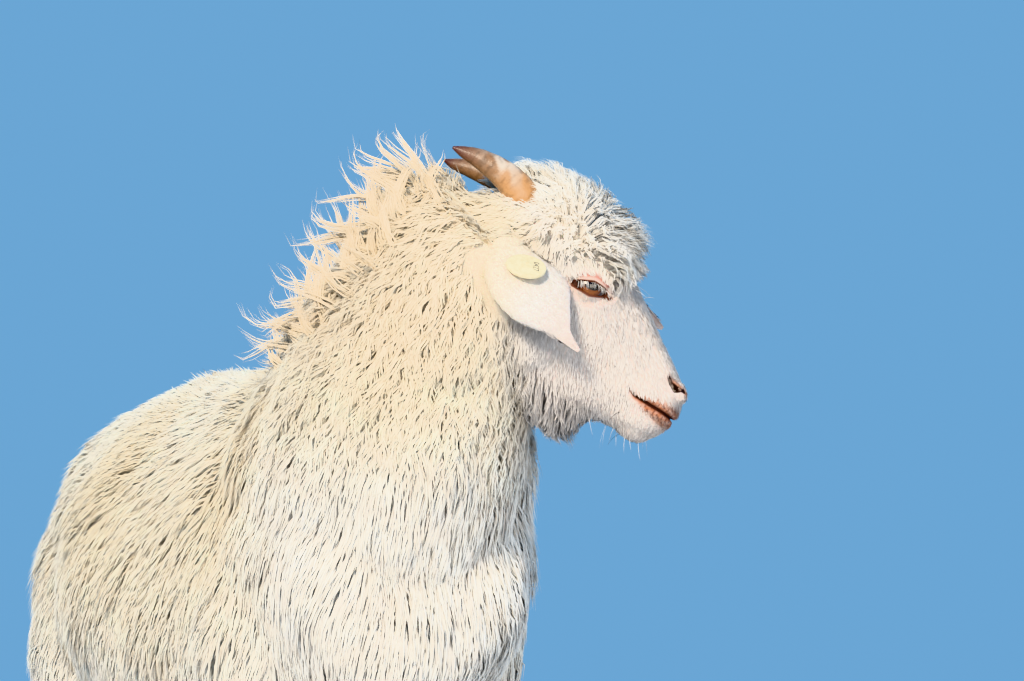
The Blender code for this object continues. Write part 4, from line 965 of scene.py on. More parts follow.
def lie_at(guides, points, normals):
    """The way the hair runs at each point, between the nearest guides and along the skin."""
    places, ways = guides
    weights = 1 / (np.sum((points[:, None] - places[None]) ** 2, axis=2) + 1e-5) ** 2
    way = whorl_lie(points, unit(weights @ ways))
    way -= normals * np.sum(way * normals, axis=1, keepdims=True)
    return unit(way)


def ear_lie(points, normals):
    """The lie on the ears, from root to tip."""
    local = to_head(points)
    way = np.zeros_like(points)
    for stations, side in ((EAR_RIGHT, -1), (EAR_LEFT, 1)):
        rows = np.array([s[:3] for s in stations])
        ways = unit(np.gradient(rows, axis=0))
        mine = local[:, 1] * side > 0
        weights = 1 / (np.sum((local[mine][:, None] - rows[None]) ** 2, axis=2) + 1e-6)
        way[mine] = weights @ ways
    way = way @ np.array(HEAD_MATRIX.to_3x3()).T
    return unit(way - normals * np.sum(way * normals, axis=1, keepdims=True))


class Surface:
    """A mesh of triangles to grow tufts on."""

    def __init__(self, obj):
        self.points = coordinates(obj)
        mesh = obj.data
        corners = np.zeros(len(mesh.polygons) * 3, int)
        mesh.polygons.foreach_get("vertices", corners)
        self.faces = corners.reshape(-1, 3)
        a, b, c = (self.points[self.faces[:, n]] for n in range(3))
        cross = np.cross(b - a, c - a)
        self.area = np.linalg.norm(cross, axis=1) / 2
        self.normals = unit(cross)
        self.centres = (a + b + c) / 3
        self.vertex_normals = vertex_normals(obj)
        self.tree = BVHTree.FromPolygons(self.points.tolist(), self.faces.tolist())

    def scatter(self, density, rng):
        """Points at random over the faces, so many per square metre of each, and their normals and faces."""
        expected = self.area * density
        picks = rng.choice(len(expected), int(expected.sum()), p=expected / expected.sum())
        a, b = np.sqrt(rng.random(len(picks))), rng.random(len(picks))
        shares = np.stack([1 - a, a * (1 - b), a * b], axis=1)
        corners = self.faces[picks]
        places = np.einsum("nc,ncd->nd", shares, self.points[corners])
        normals = unit(np.einsum("nc,ncd->nd", shares, self.vertex_normals[corners]))
        return places, normals, picks

    def settle(self, points):
        """Each point's nearest place on the surface and the normal there."""
        places, normals = np.empty_like(points), np.empty_like(points)
        for i, point in enumerate(points):
            places[i], normals[i] = self.tree.find_nearest(point)[:2]
        return places, normals


def guide_paths(surface, lie, places, normals, lengths):
    """The foot of each lock's path along the skin, from its root to under its tip, and the normals there."""
    feet, ups = [places], [normals]
    for _ in range(GUIDE_STEPS):
        way = lie(feet[-1], ups[-1])
        place, up = surface.settle(feet[-1] + way * lengths[:, None] / GUIDE_STEPS)
        feet.append(place)
        ups.append(unit(0.5 * ups[-1] + 0.5 * up))
    return np.stack(feet, axis=1), np.stack(ups, axis=1)


def sample_paths(paths, picks, where):
    """Places along the picked paths, at shares of their whole length."""
    position = np.clip(where, 0, 1) * (paths.shape[1] - 1)
    low = np.minimum(position.astype(int), paths.shape[1] - 2)
    part = (position - low)[..., None]
    rows = picks[:, None]
    return paths[rows, low] * (1 - part) + paths[rows, low + 1] * part


def solids_tree():
    """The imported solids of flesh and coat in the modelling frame, to find the coat's depth from."""
    points, faces = [], []
    for name in FLESH_NODES:
        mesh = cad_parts[name].data
        first = len(points)
        points += [v.co - SHIFT for v in mesh.vertices]
        faces += [tuple(first + i for i in p.vertices) for p in mesh.polygons]
    return BVHTree.FromPolygons(points, faces)


def coat_depth(solids, places, normals, expected):
    """How deep the solids' coat is over each place, as a mean over the deeper of the places around it."""
    depth = np.zeros(len(places))
    for i, (place, normal, most) in enumerate(zip(places, normals, 2.2 * expected)):
        away = Vector(normal)
        far = 1.5 * most + 0.002
        hit = solids.ray_cast(Vector(place) + away * far, -away, far)[3]
        found = min(far - hit, most) if hit is not None else 0.0
        depth[i] = max(found, SHALLOWEST * expected[i])
    tree = tree_of(places)
    smooth = np.empty(len(places))
    for i, place in enumerate(places):
        around = sorted(depth[index] for _, index, _ in tree.find_n(place, 36))
        smooth[i] = np.mean(around[-14:])
    return np.clip(1.15 * smooth, 0.80 * expected, 1.8 * expected)


def tree_of(places):
    """A tree to find the nearest of the places with."""
    tree = KDTree(len(places))
    for i, place in enumerate(places):
        tree.insert(place, i)
    tree.balance()
    return tree


def nearest(places, points):
    tree = tree_of(places)
    return np.array([tree.find(point)[1] for point in points])


def grow(surface, lie, values, faces, rng, segments, solids=None):
    """Tufts over the chosen faces: their paths, ups, widths and roots."""
    density = np.where(faces, values[:, DENSITY], 0)
    roots, normals, picks = surface.scatter(density, rng)
    seeds, seed_normals, seed_picks = surface.scatter(np.where(density > 0, values[:, GATHER], 0), rng)
    feet, ups = guide_paths(surface, lie, seeds, seed_normals, values[seed_picks, LENGTH] * 1.15)
    mine = nearest(seeds, roots)
    row = values[picks]
    depth = row[:, RISE]
    if solids:
        depth = coat_depth(solids, seeds, seed_normals, values[seed_picks, RISE])[mine]
        depth *= DEPTH_SHARE.get(segments, 1.0)
    count = len(roots)
    t = np.linspace(0, 1, segments + 1)[None, :]
    scale = np.sqrt(row[:, LENGTH] / values[seed_picks][mine, LENGTH])
    scale = (scale * rng.uniform(0.55, 1.0, count) ** 0.7)[:, None]
    foot = sample_paths(feet, mine, t * scale)
    up = unit(sample_paths(ups, mine, t * scale))
    start = roots - seeds[mine]
    keep = 1 - row[:, DRAW, None] * t**1.1
    loose = rng.normal(size=(count, 3)) * (row[:, LOOSE] * row[:, LENGTH])[:, None] * 0.5
    lock_high = rng.uniform(0.94, 1.04, len(seeds))[mine]
    high = (depth * lock_high * rng.uniform(0.74, 1.0, count) ** 0.5)[:, None]
    ahead = unit(np.gradient(foot, axis=1))
    side = unit(np.cross(ahead, up))
    lock_phase = rng.uniform(0, 2 * math.pi, len(seeds))[mine][:, None]
    own_phase = rng.uniform(0, 2 * math.pi, count)[:, None]
    turns = rng.uniform(4.0, 8.0, len(seeds))[mine][:, None]
    sway = (row[:, SWAY] * (row[:, LENGTH] + row[:, RISE]))[:, None]
    swing = sway * (np.sin(lock_phase + turns * t) - np.sin(lock_phase)) * t**0.5
    swing += 0.35 * sway * (np.sin(own_phase + 1.7 * turns * t) - np.sin(own_phase))
    bob = 0.7 * sway * (np.cos(lock_phase + turns * t) - np.cos(lock_phase)) * t
    climb = high * (1 - (1 - t) ** 2.4)
    path = foot + start[:, None] * keep[..., None] + up * (climb + bob)[..., None]
    path += side * swing[..., None] + loose[:, None] * (t**1.5)[..., None]
    path[:, 0] = roots - normals * (0.12 * row[:, RISE, None] + 0.0002)
    widths = row[:, WIDTH] * rng.uniform(0.7, 1.25, count)
    return {"path": path, "up": up, "width": widths, "root": roots}


def gathered(rows):
    """Tufts from rows of path, ups, width and root."""
    return {key: np.array(column) for key, column in zip(("path", "up", "width", "root"), zip(*rows))}


def past_horns(path):
    """Whether a wisp would hang across the horns, seen from either side of the head."""
    local = to_head(path)
    off = local[:, None] - np.array([row[:3] for row in HORN[2:]])[None]
    across = (np.hypot(off[..., 0], off[..., 2]) < 0.018) & (np.abs(local[:, None, 1]) > 0.014)
    above = (local[:, 2] > 0.050) & (local[:, 0] > -0.078)
    return across.any() or above.any()


def mane(surface, share, rng):
    """Long loose wisps along the ridge of the neck, each of many strands that meet at a curling tip."""
    segments = MANE_STEPS
    roots, normals, _ = surface.scatter(np.where(share > 0.25, share, 0) * 40e3, rng)
    chosen = rng.choice(len(roots), WISPS, replace=False)
    t = np.linspace(0, 1, segments + 1)
    made = []
    for pick in chosen:
        root, normal = roots[pick], normals[pick]
        height = float(np.clip((root[2] - 0.52) / 0.16, 0, 1))
        length = rng.uniform(0.036, 0.088)
        back = -RIGHT_ARRAY * (0.85 - 0.60 * height) + np.array((-0.25, 0, 0.15 + 0.80 * height))
        heading = unit(0.7 * normal + back + rng.normal(size=3) * 0.24)
        bend = unit(np.cross(heading, rng.normal(size=3)))
        curl = rng.uniform(0.8, 3.4)
        phase = rng.choice((0.0, math.pi)) + rng.uniform(-0.5, 0.5)
        path, way = [root - normal * 0.004], heading
        for passed in t[1:]:
            turn = bend * curl * math.sin(phase + 4.2 * passed) * (0.15 + 1.1 * passed)
            way = unit(way + turn * 0.45 + np.array((0, 0, 0.08)) * passed)
            path.append(path[-1] + way * length / segments)
        path = np.array(path)
        high = np.maximum(path[:, 2] - MANE_TOP, 0)
        path[:, 2] -= high - MANE_BEND * np.tanh(high / MANE_BEND)
        if past_horns(path):
            continue
        ahead = unit(np.gradient(path, axis=0))
        side = unit(np.cross(ahead, (0.25, 0.60 * math.copysign(1, normal[1]), 0.75)))
        over = np.cross(side, ahead)
        for _ in range(STRANDS):
            turn, far = rng.uniform(0, 2 * math.pi), 0.0050 * math.sqrt(rng.random())
            spread = far * (1 - t) ** 0.8 + 0.0006 * t
            jitter = rng.normal(size=3) * 0.0022
            off = side * (spread * math.cos(turn))[:, None] + over * (spread * math.sin(turn))[:, None]
            strand = path + off + jitter * (t**2)[:, None]
            reach = rng.uniform(0.62, 1.0)
            where = t * reach * segments
            low = np.minimum(where.astype(int), segments - 1)
            part = (where - low)[:, None]
            strand = strand[low] * (1 - part) + strand[low + 1] * part
            ups = np.repeat(over[:1], segments + 1, axis=0)
            made.append((strand, ups, rng.uniform(0.0006, 0.0011), root + off[0]))
    return gathered(made)


def lashes(side, rng):
    """Pale lashes that droop from the upper lid over the eye."""
    matrix = np.array((HEAD_MATRIX @ eye_matrix(side)).to_3x3())
    origin = np.array((HEAD_MATRIX @ eye_matrix(side)).translation)
    t = np.linspace(0, 1, 5)
    made = []
    ups = np.repeat(matrix[:, 1][None] * face_up(side), 5, axis=0)
    for _ in range(LASHES):
        x = rng.uniform(-0.0105, 0.0118)
        out = 2 * x / LID_LENGTH
        y = LID_HEIGHT / 2 * math.sqrt(max(1 - out**2, 0)) * (1 - 0.3 * abs(out)) - LID_DROOP
        y += rng.uniform(0.0, 0.0009)
        z = math.sqrt(max(EYE_R**2 - x * x - y * y, 0)) + 0.0008
        length = rng.uniform(0.0065, 0.0100)
        path = np.stack([
            x + (0.30 * x / 0.012 + 0.25) * length * t + rng.normal() * 0.0008 * t,
            y + length * (0.16 * t - 0.78 * t**2),
            z + length * (0.72 * t - 0.18 * t**2),
        ], axis=1)
        path[:, 1] *= face_up(side)
        path = path @ matrix.T + origin
        made.append((path, ups, rng.uniform(0.00035, 0.00060), path[0]))
    return gathered(made)


def whiskers(surface, rng):
    """Fine single hairs standing off the chin, the lips, the jaw and the brow."""
    local = to_head(surface.centres)
    x, _, z = local.T
    chin = step(x, 0.125, 0.145) * step(z, -0.030, -0.042)
    jaw = step(z, -0.060, -0.070) * step(x, 0.03, 0.05) * (1 - step(x, 0.09, 0.12))
    brow = step(x, 0.070, 0.080) * (1 - step(x, 0.10, 0.12)) * step(z, 0.030, 0.038)
    head = past_nape(surface.centres) > 0
    roots, normals, _ = surface.scatter(head * (12e3 * chin + 12e3 * jaw + 4e3 * brow), rng)
    t = np.linspace(0, 1, 5)
    down = np.array((0.0, 0.0, -1.0))
    lengths = rng.uniform(0.008, 0.019, len(roots))[:, None, None]
    way = unit(normals * 0.8 + rng.normal(size=normals.shape) * 0.30)[:, None]
    sag = (down * 0.45 + RIGHT_ARRAY * 0.15) * (t**2)[None, :, None]
    path = roots[:, None] + lengths * (way * t[None, :, None] * 0.8 + sag)
    path[:, 0] -= normals * 0.001
    over = np.cross(unit(path[:, -1] - path[:, 0]), unit(np.array((0.2, 0.3, 1.0))))
    widths = rng.uniform(0.00022, 0.00038, len(roots))
    return {"path": path, "up": np.repeat(over[:, None], 5, axis=1), "width": widths, "root": roots}


def tuft_template(segments):
    """A tuft's triangles over its points, and each corner's place on its patch."""
    faces, corners = [(0, 1, 2)], [((0, 0), (0.5, 0), (1, 0))]
    tip = 3 * segments
    for j in range(3):
        k = (j + 1) % 3
        left, right = j / 3, (j + 1) / 3
        for i in range(segments - 1):
            a, b, c, d = 3 * i + j, 3 * i + 3 + j, 3 * i + 3 + k, 3 * i + k
            low, high = i / segments, (i + 1) / segments
            faces += [(a, b, c), (a, c, d)]
            corners.append(((left, low), (left, high), (right, high)))
            corners.append(((left, low), (right, high), (right, low)))
        low = (segments - 1) / segments
        faces.append((tip - 3 + j, tip, tip - 3 + k))
        corners.append(((left, low), ((left + right) / 2, 1), (right, low)))
    return np.array(faces), np.array(corners, float)


def tuft_piece(name, tufts, unwrapped, tints, tip_tints, material, fade=1.3):
    """One mesh of closed tufts, with their colours and their patches on the map."""
    path, up = tufts["path"], tufts["up"]
    count, levels = path.shape[:2]
    segments = levels - 1
    t = np.linspace(0, 1, levels)
    ahead = unit(np.gradient(path, axis=1))
    side = unit(np.cross(ahead, up))
    over = np.cross(side, ahead)
    wide = tufts["width"][:, None, None] / 2 * np.interp(t, *TAPER)[None, :, None]
    thick = over * wide * FLATNESS
    rings = np.stack([path + side * wide - thick, path + thick * 1.6, path - side * wide - thick], axis=2)
    rings = rings[:, :-1]
    points = np.concatenate([rings.reshape(count, -1, 3), path[:, -1:]], axis=1)
    template, corners = tuft_template(segments)
    size = points.shape[1]
    loops = (template.ravel()[None] + size * np.arange(count)[:, None]).ravel()
    mesh = bpy.data.meshes.new(name)
    mesh.vertices.add(count * size)
    mesh.vertices.foreach_set("co", points.astype(np.float32).ravel())
    mesh.loops.add(len(loops))
    mesh.loops.foreach_set("vertex_index", loops.astype(np.int32))
    mesh.polygons.add(count * len(template))
    mesh.polygons.foreach_set("loop_start", np.arange(0, len(loops), 3, dtype=np.int32))
    mesh.polygons.foreach_set("use_smooth", np.ones(count * len(template), bool))
    mesh.update(calc_edges=True)
    uv = unwrapped[:, None] + PATCH * (corners.reshape(-1, 2)[None] - 0.5)
    layer = mesh.uv_layers.new(name="OFBake")
    layer.data.foreach_set("uv", uv.astype(np.float32).ravel())
    level = np.append(np.repeat(np.arange(segments), 3), segments) / segments
    blend = (level**fade)[None, :, None]
    colour = tints[:, None] * (1 - blend) + tip_tints[:, None] * blend
    # Darker towards the root: painted shade deep in the coat, with the roots' own duller colour.
    colour *= (0.93 + 0.07 * step(level, 0.0, 0.45))[None, :, None]
    rgba = np.concatenate([colour, np.ones((count, size, 1))], axis=2)
    attribute = mesh.color_attributes.new("tint", "FLOAT_COLOR", "POINT")
    attribute.data.foreach_set("color", rgba.astype(np.float32).ravel())
    own = np.stack([side * 0.9 - over * 0.35, over, -side * 0.9 - over * 0.35], axis=2)
    own = own[:, :-1].reshape(count, -1, 3)
    skyward = np.repeat(up[:, :-1], 3, axis=1)
    soft = unit(np.concatenate([SOFTNESS * skyward + (1 - SOFTNESS) * own, up[:, -1:]], axis=1))
    mesh.normals_split_custom_set_from_vertices(soft.reshape(-1, 3))
    mesh.materials.append(material)
    return placed(name, mesh)


# Colours
def toward(tint, colour, share):
    """Colours moved towards another by a share for each point."""
    return tint + (np.array(colour) - tint) * np.clip(share, 0, 1)[:, None]


def coat_tint(points, rng=None):
    """The coat's colour at each place, the same for skin and tufts."""
    x, _, z = points.T
    hx, _, hz = to_head(points).T
    patches = 0.5 + 0.5 * ripple(points, 0.16, 1)
    back = step(z, 0.28, 0.46) * (1 - step(x, 0.17, 0.27) * step(z, 0.56, 0.47))
    warm = 0.40 * step(patches, 0.45, 1.0) + 0.28 * step(z, 0.56, 0.48)
    head = step(past_nape(points), -0.03, 0.01)
    layers = [
        (CREAM, back * (0.75 + 0.25 * patches)),
        (STRAW, back * warm),
        (THROAT_CREAM, 0.55 * step(z, 0.54, 0.60) * step(past_nape(points), 0.0, -0.03)),
        (FACE_WHITE, head * step(hx, -0.01, 0.05)),
        (WHITE, head * step(hz, 0.020, 0.040) * step(hx, 0.09, 0.07)),
        (LEG_CREAM, 0.7 * step(z, 0.26, 0.20)),
        (PASTERN_TAN, 0.6 * step(z, 0.075, 0.035)),
    ]
    tint = np.repeat(np.array(WHITE)[None], len(points), axis=0)
    for colour, share in layers:
        tint = toward(tint, colour, share)
    tint *= (1 + 0.05 * ripple(points, 0.03, 2))[:, None]
    if rng is not None:
        tint *= rng.uniform(0.94, 1.05, (len(points), 1))
    return np.clip(tint, 0, 0.92)


def lip_share(found, local):
    """From 0 to 1, how rusty the lips are: a band along the mouth that widens to the front."""
    ahead = step(local[:, 0], 0.146, 0.176)
    band = 0.0034 + 0.0070 * ahead
    return step(found["mouth"] / band, 1.20, 0.60) * step(local[:, 0], 0.139, 0.149)


def skin_tint(points):
    """The skin's colour: the coat's a little darker, apart from bare skin at the eyes, nostrils, mouth and
    dewclaws, with painted shade in the face's creases, at the ear's root, in the nostrils and in the mouth's
    slit.
    """
    local = to_head(points)
    hx = local[:, 0]
    found = face_features(local)
    lid, eye, mouth, nostril = (found[name] for name in ("lid", "eye", "mouth", "nostril"))
    head = step(past_nape(points), -0.03, 0.01)
    freckle = 0.5 + 0.5 * ripple(local, 0.004, 3)
    folded = one_side(local)
    corner = np.hypot(eye[:, 0] - 0.0150, (eye[:, 1] + 0.0030) * 2.2)
    dots = step(ripple(local, 0.0030, 12), 0.35, 0.65) * step(mouth, 0.0110, 0.0060) * step(hx, 0.148, 0.160)
    wing = step(nostril, 0.0062, 0.0040) * step(found["over_nostril"], -0.0004, 0.0012)
    wing *= step(hx, 0.156, 0.162)
    wide = 0.0017 + 0.0017 * step(found["nostril_along"], 0.20, 0.75)
    ahead = step(hx, 0.1405, 0.1460)
    layers = [
        # Painted shade in the creases across the side of the nose and under the eye, and in the crevice where
        # the ear's lower edge meets the head.
        (CREASE_SHADE, 0.5 * head * wrinkles(folded)),
        (CREASE_SHADE, 0.55 * hump(distance(folded, EAR_CREVICE), 0, 0.007)),
        (SKIN_PINK, 0.45 * head * step(hx, 0.04, 0.10)),
        (SKIN_PINK, 0.8 * step(lid, 0.014, 0.003)),
        (LID_RED, 0.95 * hump(lid, 0.0056, 0.0018) * (eye[:, 1] > 0)),
        (UMBER, step(lid, 0.0030, 0.0015)),
        (UMBER, step(corner, 0.0065, 0.0035) * (lid < 1.0)),
        (RUST, lip_share(found, local) * (0.62 + 0.38 * freckle)),
        (UMBER, dots * 0.75),
        (RUST, wing * (0.55 + 0.45 * freckle)),
        (UMBER, 0.5 * step(nostril, 0.0036, 0.0026)),
        # Painted shade: the inside of the sunk nostril is near black.
        (NOSTRIL_SHADE, step(nostril - wide, 0.0006, -0.0004)),
        (LIP_EDGE, 0.8 * step(mouth, 0.0030, 0.0010) * ahead),
        # Painted shade in the slit between the lips.
        (MOUTH_SHADE, step(mouth, 0.0013, 0.0007) * ahead),
    ]
    for x, y, z in DEWCLAWS:
        layers.append((CLAW, step(distance(one_side(points), (x, y, z - 0.003)), 0.0100, 0.0080)))
    # A little darker than the coat: painted shade deep in the coat, where the skin shows between the tufts.
    tint = coat_tint(points) * 0.93
    for colour, share in layers:
        tint = toward(tint, colour, share)
    return np.clip(tint, 0, 0.92)


def paint(obj, colours):
    attribute = obj.data.color_attributes.new("tint", "FLOAT_COLOR", "POINT")
    rgba = np.concatenate([colours, np.ones((len(colours), 1))], axis=1)
    attribute.data.foreach_set("color", rgba.astype(np.float32).ravel())


# Materials
def new_material(name, **values):
    """A material with a Principled shader and constants on its sockets."""
    made = bpy.data.materials.new(name)
    made.use_nodes = True
    shader = made.node_tree.nodes["Principled BSDF"]
    for socket, value in values.items():
        shader.inputs[socket.replace("_", " ")].default_value = value
    return made, made.node_tree, shader


def add_node(tree, kind, settings, **inputs):
    """A node with its settings, and its sockets set to constants or joined to other sockets."""
    node = tree.nodes.new(kind)
    for name, value in settings.items():
        setattr(node, name, value)
    for name, value in inputs.items():
        socket = node.inputs[name.replace("_", " ")]
        if isinstance(value, bpy.types.NodeSocket):
            tree.links.new(value, socket)
        else:
            socket.default_value = value
    return node


def noise_node(tree, scale, detail=3.0):
    """A noise in the object's own coordinates."""
    where = tree.nodes.new("ShaderNodeTexCoord").outputs["Object"]
    return add_node(tree, "ShaderNodeTexNoise", {}, Scale=scale, Detail=detail, Vector=where).outputs["Fac"]


def mix_node(tree, factor, a, b, blend="MULTIPLY"):
    settings = {"data_type": "RGBA", "blend_type": blend}
    return add_node(tree, "ShaderNodeMix", settings, Factor=factor, A=a, B=b).outputs["Result"]


def tinted_material(name, variation, scale, bump=None, **values):
    """A material whose colour is the mesh's own tint, varied by a fine noise, with an optional bump."""
    made, tree, shader = new_material(name, **values)
    tint = add_node(tree, "ShaderNodeAttribute", {"attribute_name": "tint"}).outputs["Color"]
    limits = {"To_Min": 1 - variation, "To_Max": 1 + variation}
    gain = add_node(tree, "ShaderNodeMapRange", {}, Value=noise_node(tree, scale), **limits)
    tree.links.new(mix_node(tree, 1.0, tint, gain.outputs["Result"]), shader.inputs["Base Color"])
    if bump:
        bump_scale, strength, height = bump
        fine = noise_node(tree, bump_scale, 4.0)
        node = add_node(tree, "ShaderNodeBump", {}, Strength=strength, Distance=height, Height=fine)
        tree.links.new(node.outputs["Normal"], shader.inputs["Normal"])
    return made


def horn_path(side):
    """The stations of one horn."""
    stations = []
    for x, y, z, radius in HORN:
        share = step(-x, 0.02, 0.07) * (side > 0)
        stations.append((x + LEFT_TIP_SHIFT[0] * share, side * y, z + LEFT_TIP_SHIFT[1] * share, radius))
    return stations


def eye_material():
    """Iris, slot-like pupil and dark rim, from the eye's own map, with the shadow of the upper lid and lashes
    painted over the top of the eye.
    """
    made, tree, shader = new_material("eye", Roughness=0.12, Coat_Weight=0.5, Coat_Roughness=0.03)
    uv = add_node(tree, "ShaderNodeUVMap", {"uv_map": "eye"}).outputs["UV"]
    split = add_node(tree, "ShaderNodeSeparateXYZ", {}, Vector=uv)

    def math_node(operation, a, b=0.0):
        node = add_node(tree, "ShaderNodeMath", {"operation": operation})
        for socket, value in zip(node.inputs, (a, b)):
            if isinstance(value, float):
                socket.default_value = value
            else:
                tree.links.new(value, socket)
        return node.outputs["Value"]

    def range_node(value, **limits):
        return add_node(tree, "ShaderNodeMapRange", {}, Value=value, **limits).outputs["Result"]

    across, up = (math_node("SUBTRACT", split.outputs[axis], 0.5) for axis in ("X", "Y"))

    def radius(wide, high):
        x, y = math_node("DIVIDE", across, wide), math_node("DIVIDE", up, high)
        return math_node("SQRT", math_node("ADD", math_node("MULTIPLY", x, x), math_node("MULTIPLY", y, y)))

    ring = {"noise_dimensions": "1D"}
    turn = math_node("ARCTAN2", up, across)
    streaks = add_node(tree, "ShaderNodeTexNoise", ring, Scale=9.0, Detail=4.0, W=turn)
    ramp = add_node(tree, "ShaderNodeValToRGB", {}, Fac=math_node("MULTIPLY", radius(0.62, 0.62), 1.6))
    while len(ramp.color_ramp.elements) < len(IRIS):
        ramp.color_ramp.elements.new(0.5)
    for element, (where, colour) in zip(ramp.color_ramp.elements, IRIS):
        element.position = where
        element.color = (*colour, 1)
    streaked = mix_node(tree, 0.7, ramp.outputs["Color"], math_node("MULTIPLY", streaks.outputs["Fac"], 1.9))
    # Painted shadow of the upper lid and lashes: the top of the eye is darkened to near black.
    painted_lid_shadow = range_node(split.outputs["Y"], From_Min=0.47, From_Max=0.57, To_Min=1.0, To_Max=0.06)
    shaded = mix_node(tree, 1.0, streaked, painted_lid_shadow)
    off_pupil = range_node(radius(0.20, 0.085), From_Min=0.85, From_Max=1.10)
    tree.links.new(mix_node(tree, off_pupil, PUPIL, shaded, "MIX"), shader.inputs["Base Color"])
    return made


# Pieces with hard surfaces
def make_eye(name, side, material):
    """The eyeball, with the cornea standing a little proud."""
    work = bmesh.new()
    bmesh.ops.create_uvsphere(work, u_segments=48, v_segments=40, radius=EYE_R)
    for vert in work.verts:
        height = vert.co.z / EYE_R
        vert.co *= 1 + 0.045 * float(step(height, 0.72, 1.0))
    layer = work.loops.layers.uv.new("eye")
    for face in work.faces:
        for loop in face.loops:
            loop[layer].uv = (0.5 + loop.vert.co.x / EYE_R / 2, 0.5 - side * loop.vert.co.y / EYE_R / 2)
    bmesh.ops.transform(work, matrix=HEAD_MATRIX @ eye_matrix(side), verts=work.verts)
    mesh = bpy.data.meshes.new(name)
    work.to_mesh(mesh)
    work.free()
    mesh.materials.append(material)
    return shade_smooth(placed(name, mesh))


def make_horn(name, side, material):
    """A horn with growth rings, a keel in front and a pale patch on its upper side half way up."""
    def shape(share, turn):
        rings = 0.020 * math.sin(62 * share + 0.4 * math.sin(turn)) * (1 - share) ** 0.6
        grain = 0.006 * math.sin(9 * turn + 7 * share) + 0.004 * math.sin(17 * turn - 5 * share)
        keel = 0.05 * math.exp(-((math.cos(turn - 1.9) - 1) / 0.12) ** 2)
        return 1 + rings + grain + keel

    stations = horn_path(side)
    rows = [(x, y, z, 0.92 * r, r, 0.94 * r) for x, y, z, r in stations]
    horn = limb(name, rows, sides=40, steps=20, shape=shape)
    points = coordinates(horn)
    path = smooth_rows([station[:3] for station in stations], 8)
    share = line_distance(points, path)[1] + 0.04 * ripple(points, 0.03, 5)
    # Paler on the upper side half way up, broken up by a noise.
    pale_top = hump(share, 0.46, 0.15) * step(points[:, 2] - 0.0395, -0.004, 0.006)
    pale_top *= step(ripple(points, 0.011, 6), -0.5, 0.3)
    tint = toward(np.array(HORN_BASE), HORN_MIDDLE, step(share, 0.26, 0.55))
    tint = toward(tint, HORN_TIP, step(share, 0.55, 0.95))
    tint = toward(tint, HORN_PALE_TOP, pale_top * 0.9)
    tint *= 1 - 0.27 * step(ripple(points * np.array((3.0, 1, 1)), 0.010, 7), 0.25, 0.8)[:, None]
    paint(horn, np.clip(tint, 0, 1))
    horn.data.transform(HEAD_MATRIX)
    horn.data.materials.append(material)
    return shade_smooth(horn)


def coronet(ahead):
    """Height of the hoof's upper edge, that far ahead of the foot's middle."""
    return HOOF_Z + 0.20 * ahead


def make_claw(name, x, y, side, material):
    """One claw of a hoof: a flat inner side, a rounded ringed wall and a flat sole on the ground."""
    levels = [(0.0000, 0.0060, 0.0236, 0.0104), (0.0006, 0.0060, 0.0240, 0.0108)]
    for n in range(1, 12):
        share = n / 12
        ridge = 0.00018 * math.sin(9.0 * n)
        length = 0.0240 - 0.0058 * share + ridge
        levels.append((0.0272 * share, 0.0060 - 0.0062 * share, length, 0.0108 + ridge))
    levels += [(None, -0.0005, 0.0178, 0.0106), (None, -0.0005, 0.0160, 0.0092)]
    rings = []
    for level, ahead, half_length, half_width in levels:
        ring = []
        for j in range(36):
            turn = 2 * math.pi * (j + 0.5) / 36
            px = ahead + half_length * math.cos(turn)
            wide = half_width * max(math.sin(turn), -0.5) * (1 - 0.25 * max(math.cos(turn), 0))
            pz = coronet(px) if level is None else min(level, coronet(px) - 0.0005)
            ring.append(Vector((x + px, y + side * (CLEFT + 0.5 * half_width + wide), pz)))
        rings.append(ring)
    claw = faces_out(mesh_object(name, *skin_rings(rings)))
    points = coordinates(claw)
    tint = toward(np.array(HOOF_WALL), HOOF_PALE, 0.7 * step(points[:, 2], 0.018, 0.030))
    tint *= (1 + 0.25 * ripple(points * np.array((1, 1, 4)), 0.02, 8))[:, None]
    paint(claw, np.clip(tint, 0, 1))
    claw.data.materials.append(material)
    return shade_smooth(claw)


def frame_matrix(ahead, up, at):
    """A frame with +Z along ahead and +Y near up."""
    z = Vector(ahead).normalized()
    x = Vector(up).cross(z).normalized()
    matrix = Matrix((x, z.cross(x), z)).transposed().to_4x4()
    matrix.translation = Vector(at)
    return matrix


